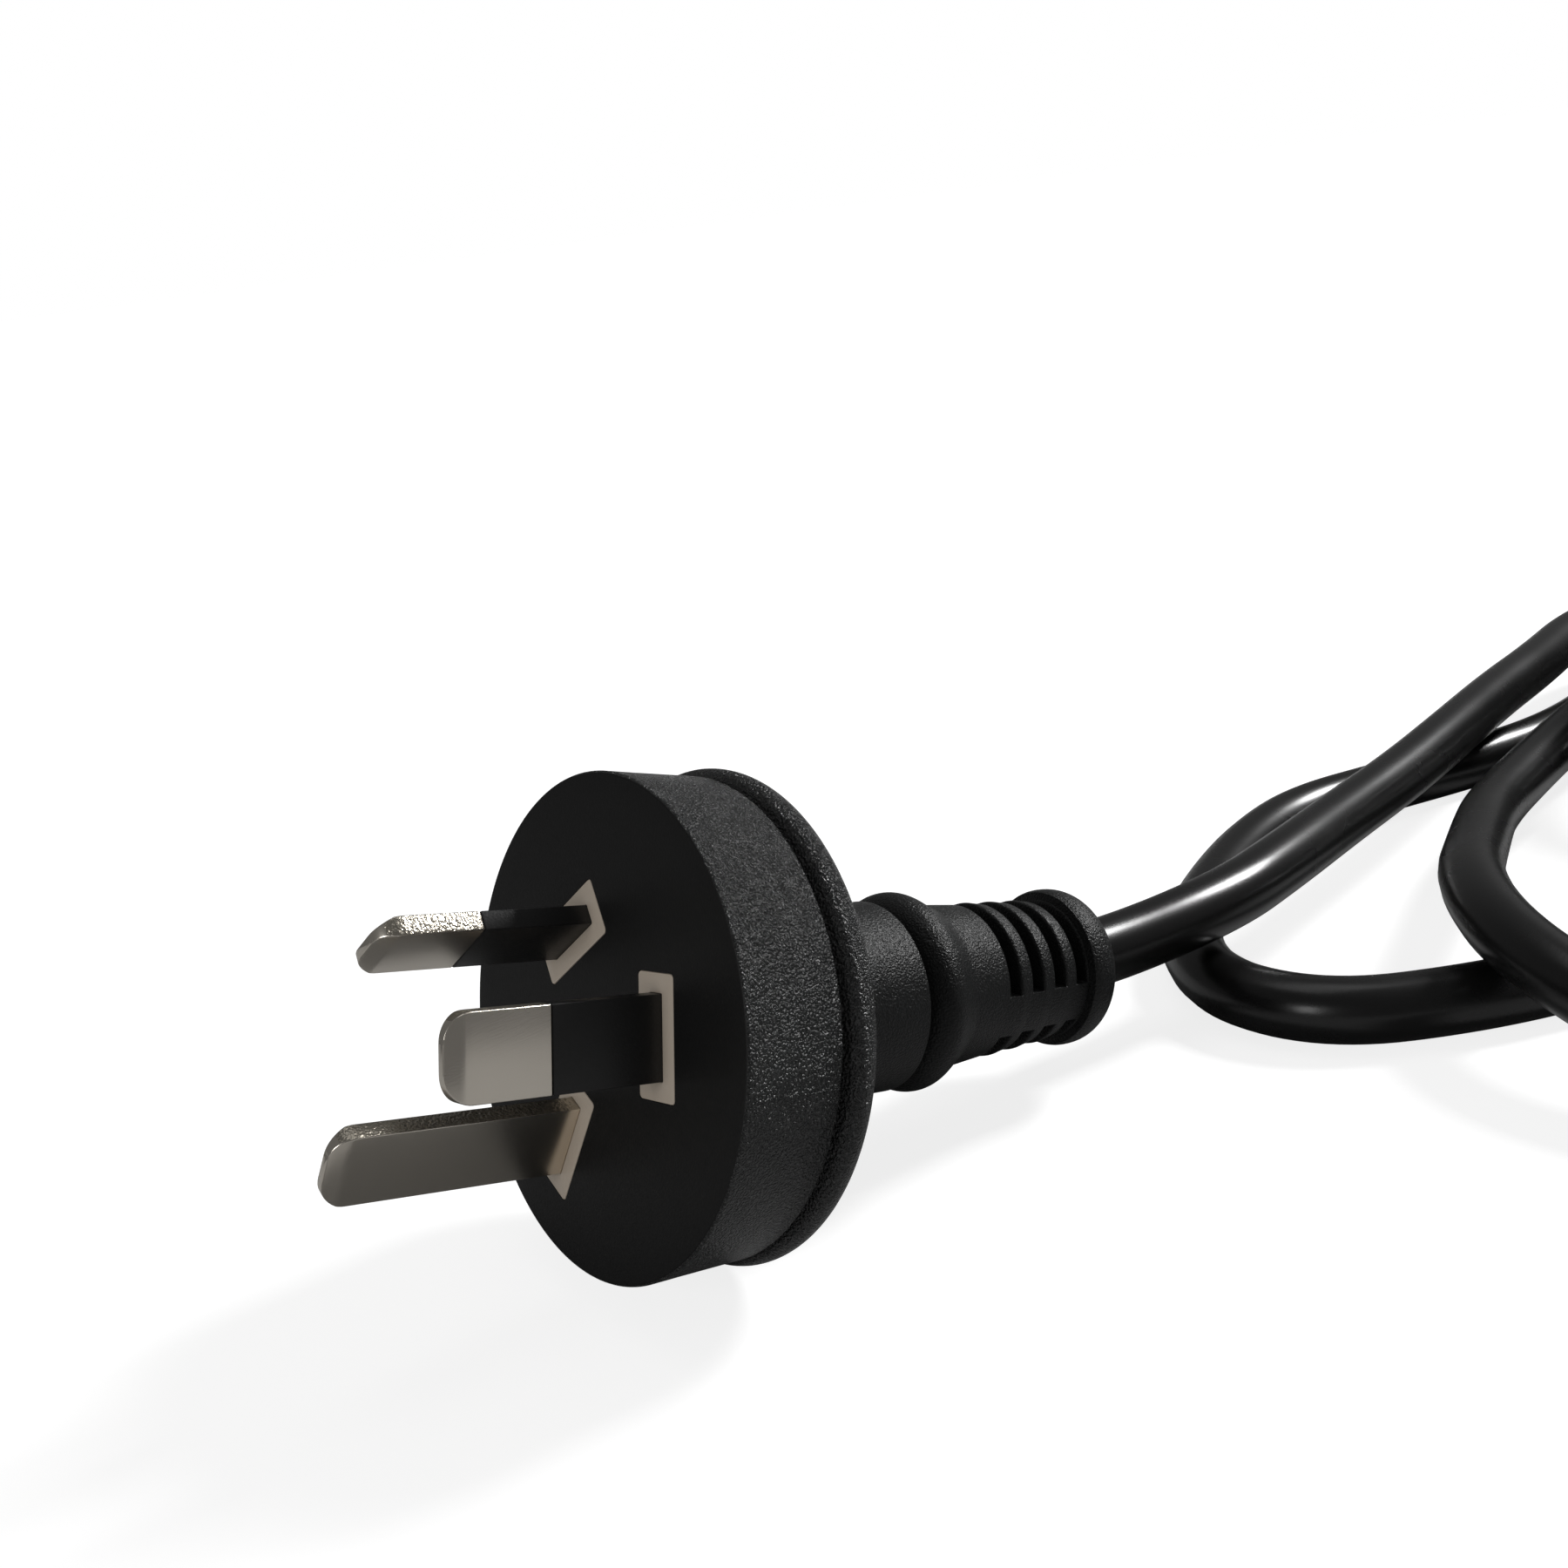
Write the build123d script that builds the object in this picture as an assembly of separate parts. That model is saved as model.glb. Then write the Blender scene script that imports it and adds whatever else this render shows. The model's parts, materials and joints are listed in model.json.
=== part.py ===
from build123d import *
import math
import os

os.makedirs("parts", exist_ok=True)

# Power cord: a moulded three-pin plug on a round black cord, with loose loops, a tied
# coil and a moulded appliance connector on its far end. Millimetres, +Z up, z = 0 is
# the surface that the cord lies on, and the plug's cord end points along +X.

# Plug overmould, measured along the plug's own axis from its pin face
FACE_RADIUS = 19.3
FACE_EDGE_RADIUS = 0.6
WALL_LENGTH = 8.6
WALL_DRAFT = 0.5
GROOVE_WIDTH = 0.7
GROOVE_DEPTH = 0.8
BEAD_CENTRE = 10.1
BEAD_RADIUS = 19.45
BEAD_SECTION_RADIUS = 1.75
FLARE_SHARES = ((0.113, 0.46), (0.351, 0.732), (0.66, 0.915))
NECK_START = 19.4
NECK_END = 26.0
NECK_START_RADIUS = 7.6
NECK_END_RADIUS = 8.0
NECK_STEP = 0.85
BULB_START = 26.8
BULB_CREST = 29.3
BULB_END = 33.5
BULB_RADIUS = 8.35
SLEEVE_RADIUS = 6.5
SLEEVE_END_RADIUS = 6.4

# Strain relief of the plug
SLOT_COUNT = 4
SLOT_FIRST = 36.8
SLOT_PITCH = 2.75
SLOT_WIDTH = 1.2
SLOT_WALL = 0.95
SPINE_WIDTH = 4.0
RELIEF_ROLL = 15.0
BALL_RADIUS = 6.95
BALL_CENTRE = 47.3
BALL_EDGE = 0.25
BALL_FULLNESS = (0.62, 0.88)
MOUTH_WALL = 0.3
PLUG_LENGTH = 51.0
BEND_START = 34.0
BEND_ANGLE = 5.0

# Pins and their layout, seen from the front with the earth pin at the bottom
PIN_WIDTH = 6.35
PIN_THICKNESS = 1.6
LINE_PIN_LENGTH = 17.06
EARTH_PIN_LENGTH = 19.94
LINE_PIN_RADIUS = 7.92
EARTH_PIN_RADIUS = 10.31
LINE_PIN_ANGLE = 30.0
PIN_TIP_BEVEL = 1.1
PIN_TIP_CORNER = 1.9
PIN_TIP_THICKNESS = 0.7
PIN_SLEEVE_LENGTH = 9.0
PIN_SLEEVE_WALL = 0.3

# White pin carrier inside the plug
COLLAR_WALL = 1.5
COLLAR_LENGTH = 3.0
CARRIER_THICKNESS = 2.5
CARRIER_RADIUS = 15.2
PIN_ROOT_END = 8.0

# Crimp barrels and wires
BARREL_RADIUS = 1.75
BARREL_BORE = 0.62
BARREL_LENGTH = 5.0
CORE_RADIUS = 1.15
CONDUCTOR_RADIUS = 0.55
CORE_SPREAD = 1.4
STRIP_GAP = 0.4
CORE_LEAD = 1.9
CORE_STRAIGHT = 1.2
CORE_BEND = 0.9
CRIMPED_LENGTH = 3.4
BARREL_LAP = 0.6
BORE_SHOULDER = 1.0

# Cord
CORD_DIAMETER = 6.2
JACKET_START = 21.0
CLEARANCE = 0.02

# Resting pose of the plug: on its bead, with the relief held up by the cord
PLUG_TILT = 15.2
PLUG_ROLL = 20.75

# Tied coil
COIL_CENTRE = (171.2, -17.0)
COIL_MIDDLE_RADIUS = 34.0
COIL_COLUMNS = 3
COIL_LAYERS = 2
COIL_EDGE_RADIUS = 2.4
TIE_WIDTH = 9.0
TIE_THICKNESS = 1.0

# Appliance connector on the far end
CONNECTOR_Y = 6.0
CONNECTOR_REAR_X = 147.6
CONNECTOR_RELIEF_LENGTH = 20.0
CONNECTOR_GRIP_LENGTH = 20.0
CONNECTOR_NOSE_LENGTH = 16.5
CONNECTOR_RELIEF_RADIUS = 4.6
CONNECTOR_RELIEF_EDGE = 0.8
CONNECTOR_NECK_SIZE = 12.0
CONNECTOR_NECK_CORNER = 5.8
CONNECTOR_TAPER_LENGTH = 8.0
CONNECTOR_GRIP_WIDTH = 27.0
CONNECTOR_GRIP_HEIGHT = 18.6
CONNECTOR_GRIP_CORNER = 4.0
CONNECTOR_GRIP_EDGE = 1.5
CONNECTOR_NOSE_WIDTH = 24.0
CONNECTOR_NOSE_HEIGHT = 15.9
CONNECTOR_NOSE_CHAMFER = 5.0
CONNECTOR_NOSE_CORNER = 1.0
CONNECTOR_SLOT_COUNT = 5
CONNECTOR_SLOT_FIRST = 3.2
CONNECTOR_SLOT_WALL = 0.7
CONNECTOR_SPINE_WIDTH = 3.2
CONNECTOR_SHELL_WALL = 1.6
CONNECTOR_INSERT_DEPTH = 22.0
CONNECTOR_JACKET_DEPTH = 12.0
CONTACT_SPACING = 14.0
CONTACT_OFFSET = 4.0
CONTACT_SLOT = (4.6, 2.5)
CONTACT_WALL = 0.4
CONTACT_LENGTH = 14.0
CONTACT_RECESS = 1.2
CONTACT_GATHER = {"ground": 90, "line": 330, "return": 210}

CORD_RADIUS = CORD_DIAMETER / 2
LINE_PINS = {"active": LINE_PIN_ANGLE, "neutral": 180 - LINE_PIN_ANGLE}


def bead_centre():
    """Place of the bead's section centre: distance from the face, and from the axis."""
    return BEAD_CENTRE, BEAD_RADIUS - BEAD_SECTION_RADIUS


def face_height():
    """Height of the face's centre when the bead rests on the surface."""
    along, out = bead_centre()
    tilt = math.radians(PLUG_TILT)
    return along * math.sin(tilt) + out * math.cos(tilt) + BEAD_SECTION_RADIUS


def relief_point(distance):
    """Point on the plug's bent centre line, at this distance from the face."""
    if distance <= BEND_START:
        return Vector(distance, 0, 0)
    past = distance - BEND_START
    bend = math.radians(BEND_ANGLE)
    return Vector(BEND_START + past * math.cos(bend), 0, past * math.sin(bend))


def relief_place(distance):
    """Location on the bent centre line, with its local X along the line."""
    angle = 0 if distance <= BEND_START else -BEND_ANGLE
    return Location(relief_point(distance)) * Rot(0, angle, 0)


def turned(points_and_arcs):
    """Solid of revolution about the X axis from a closed wire in the XY plane."""
    return revolve(make_face(points_and_arcs), Axis.X)


def plug_disc():
    """Disc, groove, bead, back slope and neck: one turned form about the plug's axis."""
    along, out = bead_centre()
    groove_end = WALL_LENGTH + GROOVE_WIDTH
    wall_end_radius = FACE_RADIUS - WALL_DRAFT
    bead_back = along + BEAD_SECTION_RADIUS
    bead_foot = out + math.sqrt(BEAD_SECTION_RADIUS**2 - (along - groove_end) ** 2)
    flare = [
        (bead_back + (NECK_START - bead_back) * s, out - (out - NECK_START_RADIUS) * r)
        for s, r in FLARE_SHARES
    ]
    with BuildSketch() as section:
        with BuildLine():
            Polyline(
                (0, 0),
                (0, FACE_RADIUS),
                (WALL_LENGTH, wall_end_radius),
                (WALL_LENGTH, wall_end_radius - GROOVE_DEPTH),
                (groove_end, wall_end_radius - GROOVE_DEPTH),
                (groove_end, bead_foot),
            )
            ThreePointArc((groove_end, bead_foot), (along, BEAD_RADIUS), (bead_back, out))
            Spline(
                (bead_back, out),
                *flare,
                (NECK_START, NECK_START_RADIUS),
                tangents=((0, -1), (1, 0)),
            )
            Polyline(
                (NECK_START, NECK_START_RADIUS),
                (NECK_END, NECK_END_RADIUS),
                (NECK_END, 0),
                (0, 0),
            )
        make_face()
    body = revolve(section.sketch, Axis.X)
    face_edge = body.edges().filter_by(GeomType.CIRCLE).sort_by(Axis.X)
    outer = [e for e in face_edge if abs(e.center().X) < 1e-6 and e.radius > FACE_RADIUS - 1e-3]
    return fillet(outer, FACE_EDGE_RADIUS)


def plug_bulb():
    """Round collar behind the neck, up to the start of the sleeve."""
    waist = NECK_END_RADIUS - NECK_STEP
    inside = NECK_END - NECK_STEP
    end_radius = SLEEVE_RADIUS - BALL_EDGE
    with BuildSketch() as section:
        with BuildLine():
            Polyline((inside, 0), (inside, waist), (BULB_START, waist))
            ThreePointArc(
                (BULB_START, waist), (BULB_CREST, BULB_RADIUS), (BULB_END, end_radius)
            )
            Polyline((BULB_END, end_radius), (BULB_END, 0), (inside, 0))
        make_face()
    return revolve(section.sketch, Axis.X)


def relief_sleeve():
    """Slightly tapered sleeve that runs from the bulb into the end ball."""
    turn = Rot(0, 90, 0)
    rings = [
        relief_place(BEND_START - NECK_STEP) * turn * Circle(SLEEVE_RADIUS),
        relief_place(BEND_START + NECK_STEP) * turn * Circle(SLEEVE_RADIUS),
        relief_place(BALL_CENTRE) * turn * Circle(SLEEVE_END_RADIUS),
    ]
    return loft(rings)


def end_ball():
    """Rounded bead at the cord end of the relief, with a small flat where the cord leaves."""
    mouth = CORD_RADIUS + MOUTH_WALL
    reach = PLUG_LENGTH - BALL_CENTRE
    near = SLOT_FIRST + (SLOT_COUNT - 1) * SLOT_PITCH + SLOT_WIDTH / 2 - BALL_CENTRE
    near_radius = math.sqrt(max(BALL_RADIUS**2 - near**2, SLEEVE_END_RADIUS**2))
    full = (BALL_FULLNESS[0] * reach, BALL_FULLNESS[1] * BALL_RADIUS)
    with BuildSketch() as section:
        with BuildLine():
            Polyline(
                (near, 0), (near, near_radius - BALL_EDGE / 2), (near + BALL_EDGE, near_radius)
            )
            Spline((near + BALL_EDGE, near_radius), (0, BALL_RADIUS), full, (reach, mouth))
            Polyline((reach, mouth), (reach, 0), (near, 0))
        make_face()
    return relief_place(BALL_CENTRE) * revolve(section.sketch, Axis.X)


def ring_slot(inner, outer, width, spine):
    """Cutter for one slot of a relief: a flat ring with two spines left standing."""
    ring = Cylinder(outer, width, rotation=(0, 90, 0)) - Cylinder(inner, width, rotation=(0, 90, 0))
    return ring - Box(width, 2 * outer + 1, spine)


def relief_slots():
    """Cutters for the plug relief's slots, at their places along the bent line."""
    cutter = ring_slot(CORD_RADIUS + SLOT_WALL, BALL_RADIUS + 3, SLOT_WIDTH, SPINE_WIDTH)
    cutter = Rot(RELIEF_ROLL, 0, 0) * cutter
    return [relief_place(SLOT_FIRST + i * SLOT_PITCH) * cutter for i in range(SLOT_COUNT)]


def pin_place(radius, angle, wide_along_radius=False):
    """Plane of one pin: x along the plug's axis, y across the pin's width."""
    a = math.radians(angle)
    centre = Vector(0, -radius * math.cos(a), radius * math.sin(a))
    radial = Vector(0, -math.cos(a), math.sin(a))
    across = Vector(0, -math.sin(a), -math.cos(a))
    normal = across if wide_along_radius else radial
    return Plane(origin=centre, x_dir=(1, 0, 0), z_dir=normal)


def blade(length, end):
    """Flat pin from its bevelled tip at -length to its root at end, in its own plane."""
    half = PIN_WIDTH / 2
    outline = make_face(
        Polyline(
            (end, -half),
            (end, half),
            (-length + PIN_TIP_CORNER, half),
            (-length, half - PIN_TIP_CORNER),
            (-length, -half + PIN_TIP_CORNER),
            (-length + PIN_TIP_CORNER, -half),
            (end, -half),
        )
    )
    corners = outline.vertices().filter_by(lambda v: v.X < end - 1)
    outline = fillet(corners, PIN_TIP_CORNER * 0.8)
    flat = extrude(outline, PIN_THICKNESS / 2, both=True)
    thick = PIN_THICKNESS / 2
    thin = PIN_TIP_THICKNESS / 2
    side = make_face(
        Polyline(
            (end, -thick),
            (end, thick),
            (-length + PIN_TIP_BEVEL, thick),
            (-length, thin),
            (-length, -thin),
            (-length + PIN_TIP_BEVEL, -thick),
            (end, -thick),
        )
    )
    wedge = Rot(90, 0, 0) * extrude(side, PIN_WIDTH, both=True)
    return flat & wedge


def sleeve_hollow():
    """Closed block of the moulded insulation on a line pin, with the pin's waist inside it."""
    total = PIN_SLEEVE_LENGTH + COLLAR_LENGTH
    place = Pos(COLLAR_LENGTH - total / 2, 0, 0)
    outer = place * Box(total, PIN_WIDTH, PIN_THICKNESS)
    inner = place * Box(total, PIN_WIDTH - 2 * PIN_SLEEVE_WALL, PIN_THICKNESS - 2 * PIN_SLEEVE_WALL)
    return outer - inner


def barrel_blank(start):
    """Outer form of a crimp barrel, lapped onto the flat root that ends at start."""
    length = BARREL_LENGTH + BARREL_LAP
    blank = Cylinder(BARREL_RADIUS, length, rotation=(0, 90, 0))
    return Pos(start - BARREL_LAP + length / 2, 0, 0) * blank


def crimp_barrel(start):
    """Closed crimp barrel behind a pin or contact, with the bore that holds the strands."""
    bore = Cylinder(BARREL_BORE, BARREL_LENGTH, rotation=(0, 90, 0))
    return barrel_blank(start) - Pos(start + BORE_SHOULDER + BARREL_LENGTH / 2, 0, 0) * bore


def build_pin(length, sleeved):
    """One pin with its crimp barrel, in its own plane."""
    pin = blade(length, PIN_ROOT_END)
    if sleeved:
        pin = pin - sleeve_hollow()
    return pin + crimp_barrel(PIN_ROOT_END)


def wire_path(pin_point, spread_angle, jacket_x, start_x, lead_x):
    """Route of one core from its barrel to the cut end of the jacket."""
    a = math.radians(spread_angle)
    gather = Vector(0, -CORE_SPREAD * math.cos(a), CORE_SPREAD * math.sin(a))
    straight = math.copysign(CORE_STRAIGHT, jacket_x - start_x)
    return FilletPolyline(
        Vector(start_x, pin_point.Y, pin_point.Z),
        Vector(lead_x, pin_point.Y, pin_point.Z),
        Vector(jacket_x - straight, gather.Y, gather.Z),
        Vector(jacket_x, gather.Y, gather.Z),
        radius=CORE_BEND,
    )


def round_sweep(path, radius):
    """Round bar of this radius along a path."""
    start = Plane(origin=path @ 0, z_dir=path % 0)
    return sweep(start * Circle(radius), path=path)


def wires(pin_point, spread_angle, barrel_end, jacket_x):
    """Insulation and conductor of one core, and the cutter for the hollow they lie in."""
    way = math.copysign(1, jacket_x - barrel_end)
    lead_x = barrel_end + way * CORE_LEAD
    core_path = wire_path(
        pin_point, spread_angle, jacket_x, barrel_end + way * STRIP_GAP, lead_x
    )
    copper_path = wire_path(
        pin_point, spread_angle, jacket_x, barrel_end - way * CRIMPED_LENGTH, lead_x
    )
    bore = round_sweep(copper_path, CONDUCTOR_RADIUS + CLEARANCE)
    core = round_sweep(core_path, CORE_RADIUS) - bore
    copper = round_sweep(copper_path, CONDUCTOR_RADIUS)
    return core, copper, bore + round_sweep(core_path, CORE_RADIUS + CLEARANCE)


def pin_carrier(planes):
    """White insert: a disc with one square collar round each pin, flush with the face."""
    disc = Pos(COLLAR_LENGTH + CARRIER_THICKNESS / 2, 0, 0) * Cylinder(
        CARRIER_RADIUS, CARRIER_THICKNESS, rotation=(0, 90, 0)
    )
    carrier = disc
    for plane in planes.values():
        collar = Pos(COLLAR_LENGTH / 2, 0, 0) * Box(
            COLLAR_LENGTH, PIN_WIDTH + 2 * COLLAR_WALL, PIN_THICKNESS + 2 * COLLAR_WALL
        )
        collar = fillet(collar.edges().filter_by(Axis.X), 0.35)
        carrier = carrier + plane * collar
    for plane in planes.values():
        hole = Pos(COLLAR_LENGTH, 0, 0) * Box(4 * COLLAR_LENGTH, PIN_WIDTH, PIN_THICKNESS)
        carrier = carrier - plane * hole
    return carrier


def cord_path(points):
    """Straight runs joined by tangent arcs, with the arcs' radii."""
    runs = [(points[i + 1] - points[i]).length for i in range(len(points) - 1)]
    radii = []
    for i in range(1, len(points) - 1):
        turn = (points[i] - points[i - 1]).get_angle(points[i + 1] - points[i])
        radii.append(0.45 * min(runs[i - 1], runs[i]) / math.tan(math.radians(turn / 2)))
    return FilletPolyline(*points, radius=radii), runs, radii


def cord_bore(points):
    """Cutter for the hole that one end of the cord fills."""
    path, runs, radii = cord_path(points)
    return round_sweep(path, CORD_RADIUS + CLEARANCE)


def cord_tube(points, radii_name):
    """Plain round tube of the cord along its route; prints its radii."""
    path, runs, radii = cord_path(points)
    tube = round_sweep(path, CORD_RADIUS)
    expected = math.pi * CORD_RADIUS**2 * path.length
    print(
        radii_name,
        "length",
        round(path.length, 1),
        "least radius",
        round(min(radii), 1),
        "volume ratio",
        round(tube.volume / expected, 5),
    )
    print("  radii", [round(r) for r in radii], "runs", [round(r) for r in runs])
    return tube


def plug_frame(shift):
    """Location that puts the plug's own axes into the resting frame."""
    return Pos(shift, 0, face_height()) * Rot(0, PLUG_TILT, 0)


def build_plug():
    """All pieces of the plug in its own axes: X from the face to the cord."""
    roll = Rot(PLUG_ROLL, 0, 0)
    planes = {name: pin_place(LINE_PIN_RADIUS, angle) for name, angle in LINE_PINS.items()}
    planes["earth"] = pin_place(EARTH_PIN_RADIUS, 270, wide_along_radius=True)
    angles = dict(LINE_PINS, earth=270)
    pieces = {}
    cavities = []
    for name, plane in planes.items():
        length = EARTH_PIN_LENGTH if name == "earth" else LINE_PIN_LENGTH
        pin = plane * build_pin(length, sleeved=name != "earth")
        pieces[f"{name}_pin"] = pin
        root = Pos(PIN_ROOT_END / 2, 0, 0) * Box(PIN_ROOT_END, PIN_WIDTH, PIN_THICKNESS)
        cavities.append(plane * root)
        cavities.append(plane * barrel_blank(PIN_ROOT_END))
        if name != "earth":
            pieces[f"{name}_pin_sleeve"] = plane * sleeve_hollow()
        barrel_end = PIN_ROOT_END + BARREL_LENGTH
        core, copper, hollow = wires(plane.origin, angles[name], barrel_end, JACKET_START)
        pieces[f"{name}_core_insulation"] = core
        pieces[f"{name}_conductor"] = copper
        cavities.append(hollow)
    carrier = pin_carrier(planes)
    pieces["pin_carrier"] = carrier
    solid_carrier = carrier
    for plane in planes.values():
        solid_carrier = solid_carrier + plane * (
            Pos(COLLAR_LENGTH / 2, 0, 0) * Box(COLLAR_LENGTH, PIN_WIDTH, PIN_THICKNESS)
        )
    body = plug_disc() + plug_bulb() + relief_sleeve() + end_ball()
    for cutter in relief_slots():
        body = body - cutter
    for cavity in [solid_carrier] + cavities:
        body = body - roll * cavity
    turned_pieces = {name: roll * piece for name, piece in pieces.items()}
    turned_pieces["plug_body"] = body
    return turned_pieces


def coil_section():
    """Width of the coil's bundle across its columns, and its height up its layers."""
    return COIL_COLUMNS * CORD_DIAMETER, COIL_LAYERS * CORD_DIAMETER


def bundle_part(inner_radius, outer_radius, height, base, arc):
    """Rounded bundle between two radii, turned through this arc clockwise from the +Y side."""
    section = RectangleRounded(outer_radius - inner_radius, height, COIL_EDGE_RADIUS)
    upright = Plane(
        origin=((inner_radius + outer_radius) / 2, 0, base + height / 2),
        x_dir=(1, 0, 0),
        z_dir=(0, -1, 0),
    )
    ring = revolve(upright * section, Axis.Z, revolution_arc=arc)
    return Pos(*COIL_CENTRE, 0) * Rot(0, 0, -90) * ring


def bundle_ring(shrink):
    """Outer shape of the coiled turns, shrunk by this much all round.

    All columns run through the half on the +X side. The outer column is missing on the
    other half, where the loose loops come out of the coil.
    """
    width, height = coil_section()
    inside = COIL_MIDDLE_RADIUS - width / 2
    full = bundle_part(inside + shrink, inside + width - shrink, height - 2 * shrink, shrink, 180)
    core = bundle_part(
        inside + shrink, inside + width - CORD_DIAMETER - shrink, height - 2 * shrink, shrink, 360
    )
    return full + core


def tie_zone():
    """Block round the bundle where the tie sits."""
    width, height = coil_section()
    x = COIL_CENTRE[0] + COIL_MIDDLE_RADIUS
    return Pos(x, COIL_CENTRE[1], height / 2) * Box(width + 4, TIE_WIDTH, height + 4)


def nose_profile(inset):
    """Outline of the connector's nose across its axis, with two chamfered upper corners."""
    w = CONNECTOR_NOSE_WIDTH / 2 - inset
    h = CONNECTOR_NOSE_HEIGHT / 2 - inset
    c = CONNECTOR_NOSE_CHAMFER - inset * (2 - math.sqrt(2))
    return make_face(
        Polyline((-w, -h), (w, -h), (w, h - c), (w - c, h), (-w + c, h), (-w, h - c), (-w, -h))
    )


def connector_slots():
    """Places of the three contacts across the nose: name to (side, up)."""
    return {
        "line": (-CONTACT_SPACING / 2, -CONTACT_OFFSET / 2),
        "return": (CONTACT_SPACING / 2, -CONTACT_OFFSET / 2),
        "ground": (0, CONTACT_OFFSET / 2),
    }


def build_connector():
    """Pieces of the connector in its own axes: X from the cord entry to the socket face."""
    grip_start = CONNECTOR_RELIEF_LENGTH
    nose_start = grip_start + CONNECTOR_GRIP_LENGTH
    face = nose_start + CONNECTOR_NOSE_LENGTH
    across = Plane(origin=(0, 0, 0), x_dir=(0, 1, 0), z_dir=(1, 0, 0))

    nose_outer = nose_profile(0)
    nose_outer = fillet(nose_outer.vertices(), CONNECTOR_NOSE_CORNER)
    nose = extrude(across.offset(nose_start) * nose_outer, CONNECTOR_NOSE_LENGTH)
    grip_front = across.offset(nose_start) * RectangleRounded(
        CONNECTOR_GRIP_WIDTH, CONNECTOR_GRIP_HEIGHT, CONNECTOR_GRIP_CORNER
    )
    grip_shoulder = across.offset(grip_start + CONNECTOR_TAPER_LENGTH) * RectangleRounded(
        CONNECTOR_GRIP_WIDTH, CONNECTOR_GRIP_HEIGHT, CONNECTOR_GRIP_CORNER
    )
    grip_back = across.offset(grip_start) * RectangleRounded(
        CONNECTOR_NECK_SIZE, CONNECTOR_NECK_SIZE, CONNECTOR_NECK_CORNER
    )
    block = loft([grip_shoulder, grip_front], ruled=True)
    front_edges = block.faces().sort_by(Axis.X)[-1].edges()
    block = fillet(front_edges, CONNECTOR_GRIP_EDGE)
    taper = loft([grip_back, grip_shoulder], ruled=True)
    relief = Pos(CONNECTOR_RELIEF_LENGTH / 2, 0, 0) * Cone(
        CONNECTOR_RELIEF_RADIUS,
        CONNECTOR_NECK_SIZE / 2,
        CONNECTOR_RELIEF_LENGTH,
        rotation=(0, 90, 0),
    )
    relief = fillet(relief.edges().sort_by(Axis.X)[:1], CONNECTOR_RELIEF_EDGE)
    body = nose + block + taper + relief
    for i in range(CONNECTOR_SLOT_COUNT):
        cutter = ring_slot(
            CORD_RADIUS + CONNECTOR_SLOT_WALL, CONNECTOR_NECK_SIZE, SLOT_WIDTH, CONNECTOR_SPINE_WIDTH
        )
        if i % 2:
            cutter = Rot(90, 0, 0) * cutter
        body = body - Pos(CONNECTOR_SLOT_FIRST + SLOT_PITCH * i, 0, 0) * cutter

    inset = CONNECTOR_SHELL_WALL
    insert_start = face - CONNECTOR_INSERT_DEPTH
    insert = extrude(across.offset(insert_start) * nose_profile(inset), CONNECTOR_INSERT_DEPTH)
    body = body - insert
    pieces = {}
    wall = CONTACT_WALL
    contact_front = face - CONTACT_RECESS
    contact_back = contact_front - CONTACT_LENGTH
    barrel_front = contact_back - BARREL_LENGTH
    for name, (side, up) in connector_slots().items():
        width, height = CONTACT_SLOT
        at = Pos(contact_back, side, up)
        socket = at * Pos(CONTACT_LENGTH / 2, 0, 0) * Box(
            CONTACT_LENGTH, height + 2 * wall, width + 2 * wall
        )
        hollow = at * Pos(CONTACT_LENGTH / 2 + BORE_SHOULDER, 0, 0) * Box(
            CONTACT_LENGTH, height, width
        )
        slot = Pos(face - CONTACT_RECESS / 2, side, up) * Box(CONTACT_RECESS, height, width)
        barrel = at * Rot(0, 0, 180) * barrel_blank(0)
        bore = at * Pos(-BORE_SHOULDER - BARREL_LENGTH / 2, 0, 0) * Cylinder(
            BARREL_BORE, BARREL_LENGTH, rotation=(0, 90, 0)
        )
        pieces[f"connector_{name}_contact"] = (socket - hollow) + barrel - bore
        core, copper, wire_hollow = wires(
            Vector(0, side, up), CONTACT_GATHER[name], barrel_front, CONNECTOR_JACKET_DEPTH
        )
        pieces[f"connector_{name}_insulation"] = core
        pieces[f"connector_{name}_conductor"] = copper
        insert = insert - socket - slot - barrel - wire_hollow
        body = body - barrel - wire_hollow
    pieces["connector_body"] = body
    pieces["connector_insert"] = insert
    return pieces


# Routes of the cord, in the resting frame. Each list starts or ends inside the coil's
# bundle, where the turns take over; heights are those of the cord's centre line.
OVER = 9.9
FLOOR = CORD_RADIUS
UPPER_TURN = 3 * CORD_RADIUS

PLUG_LEAD = [
    (53.1, -1.6, OVER),
    (65.5, 1.1, OVER),
    (79.8, 5.3, 9.4),
    (94.2, 8.6, 9.45),
    (108.5, 12.3, OVER),
    (124.5, 17.2, OVER),
    (140.8, 21.7, 9.6),
    (156.6, 26.8, 9.45),
    (171.4, 27.9, 9.4),
    (184.3, 22.3, 9.35),
    (193.3, 13.7, 9.3),
]

LOWER_LOOP = [
    (173.2, -51.0, FLOOR),
    (155.2, -51.5, FLOOR),
    (137.2, -49.8, FLOOR),
    (119.2, -45.7, FLOOR),
    (102.1, -40.0, FLOOR),
    (87.1, -34.9, FLOOR),
    (73.0, -28.9, FLOOR),
    (61.0, -23.8, FLOOR),
    (50.4, -16.0, FLOOR),
    (48.6, -4.2, FLOOR),
    (56.5, 7.1, FLOOR),
    (69.0, 14.3, FLOOR),
    (82.0, 20.0, FLOOR),
    (93.7, 22.4, FLOOR),
    (105.3, 19.6, FLOOR),
    (117.3, 16.5, FLOOR),
    (130.3, 14.4, FLOOR),
    (144.2, 16.0, FLOOR),
    (158.2, 21.6, FLOOR),
    (171.2, 23.2, FLOOR),
]

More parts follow.
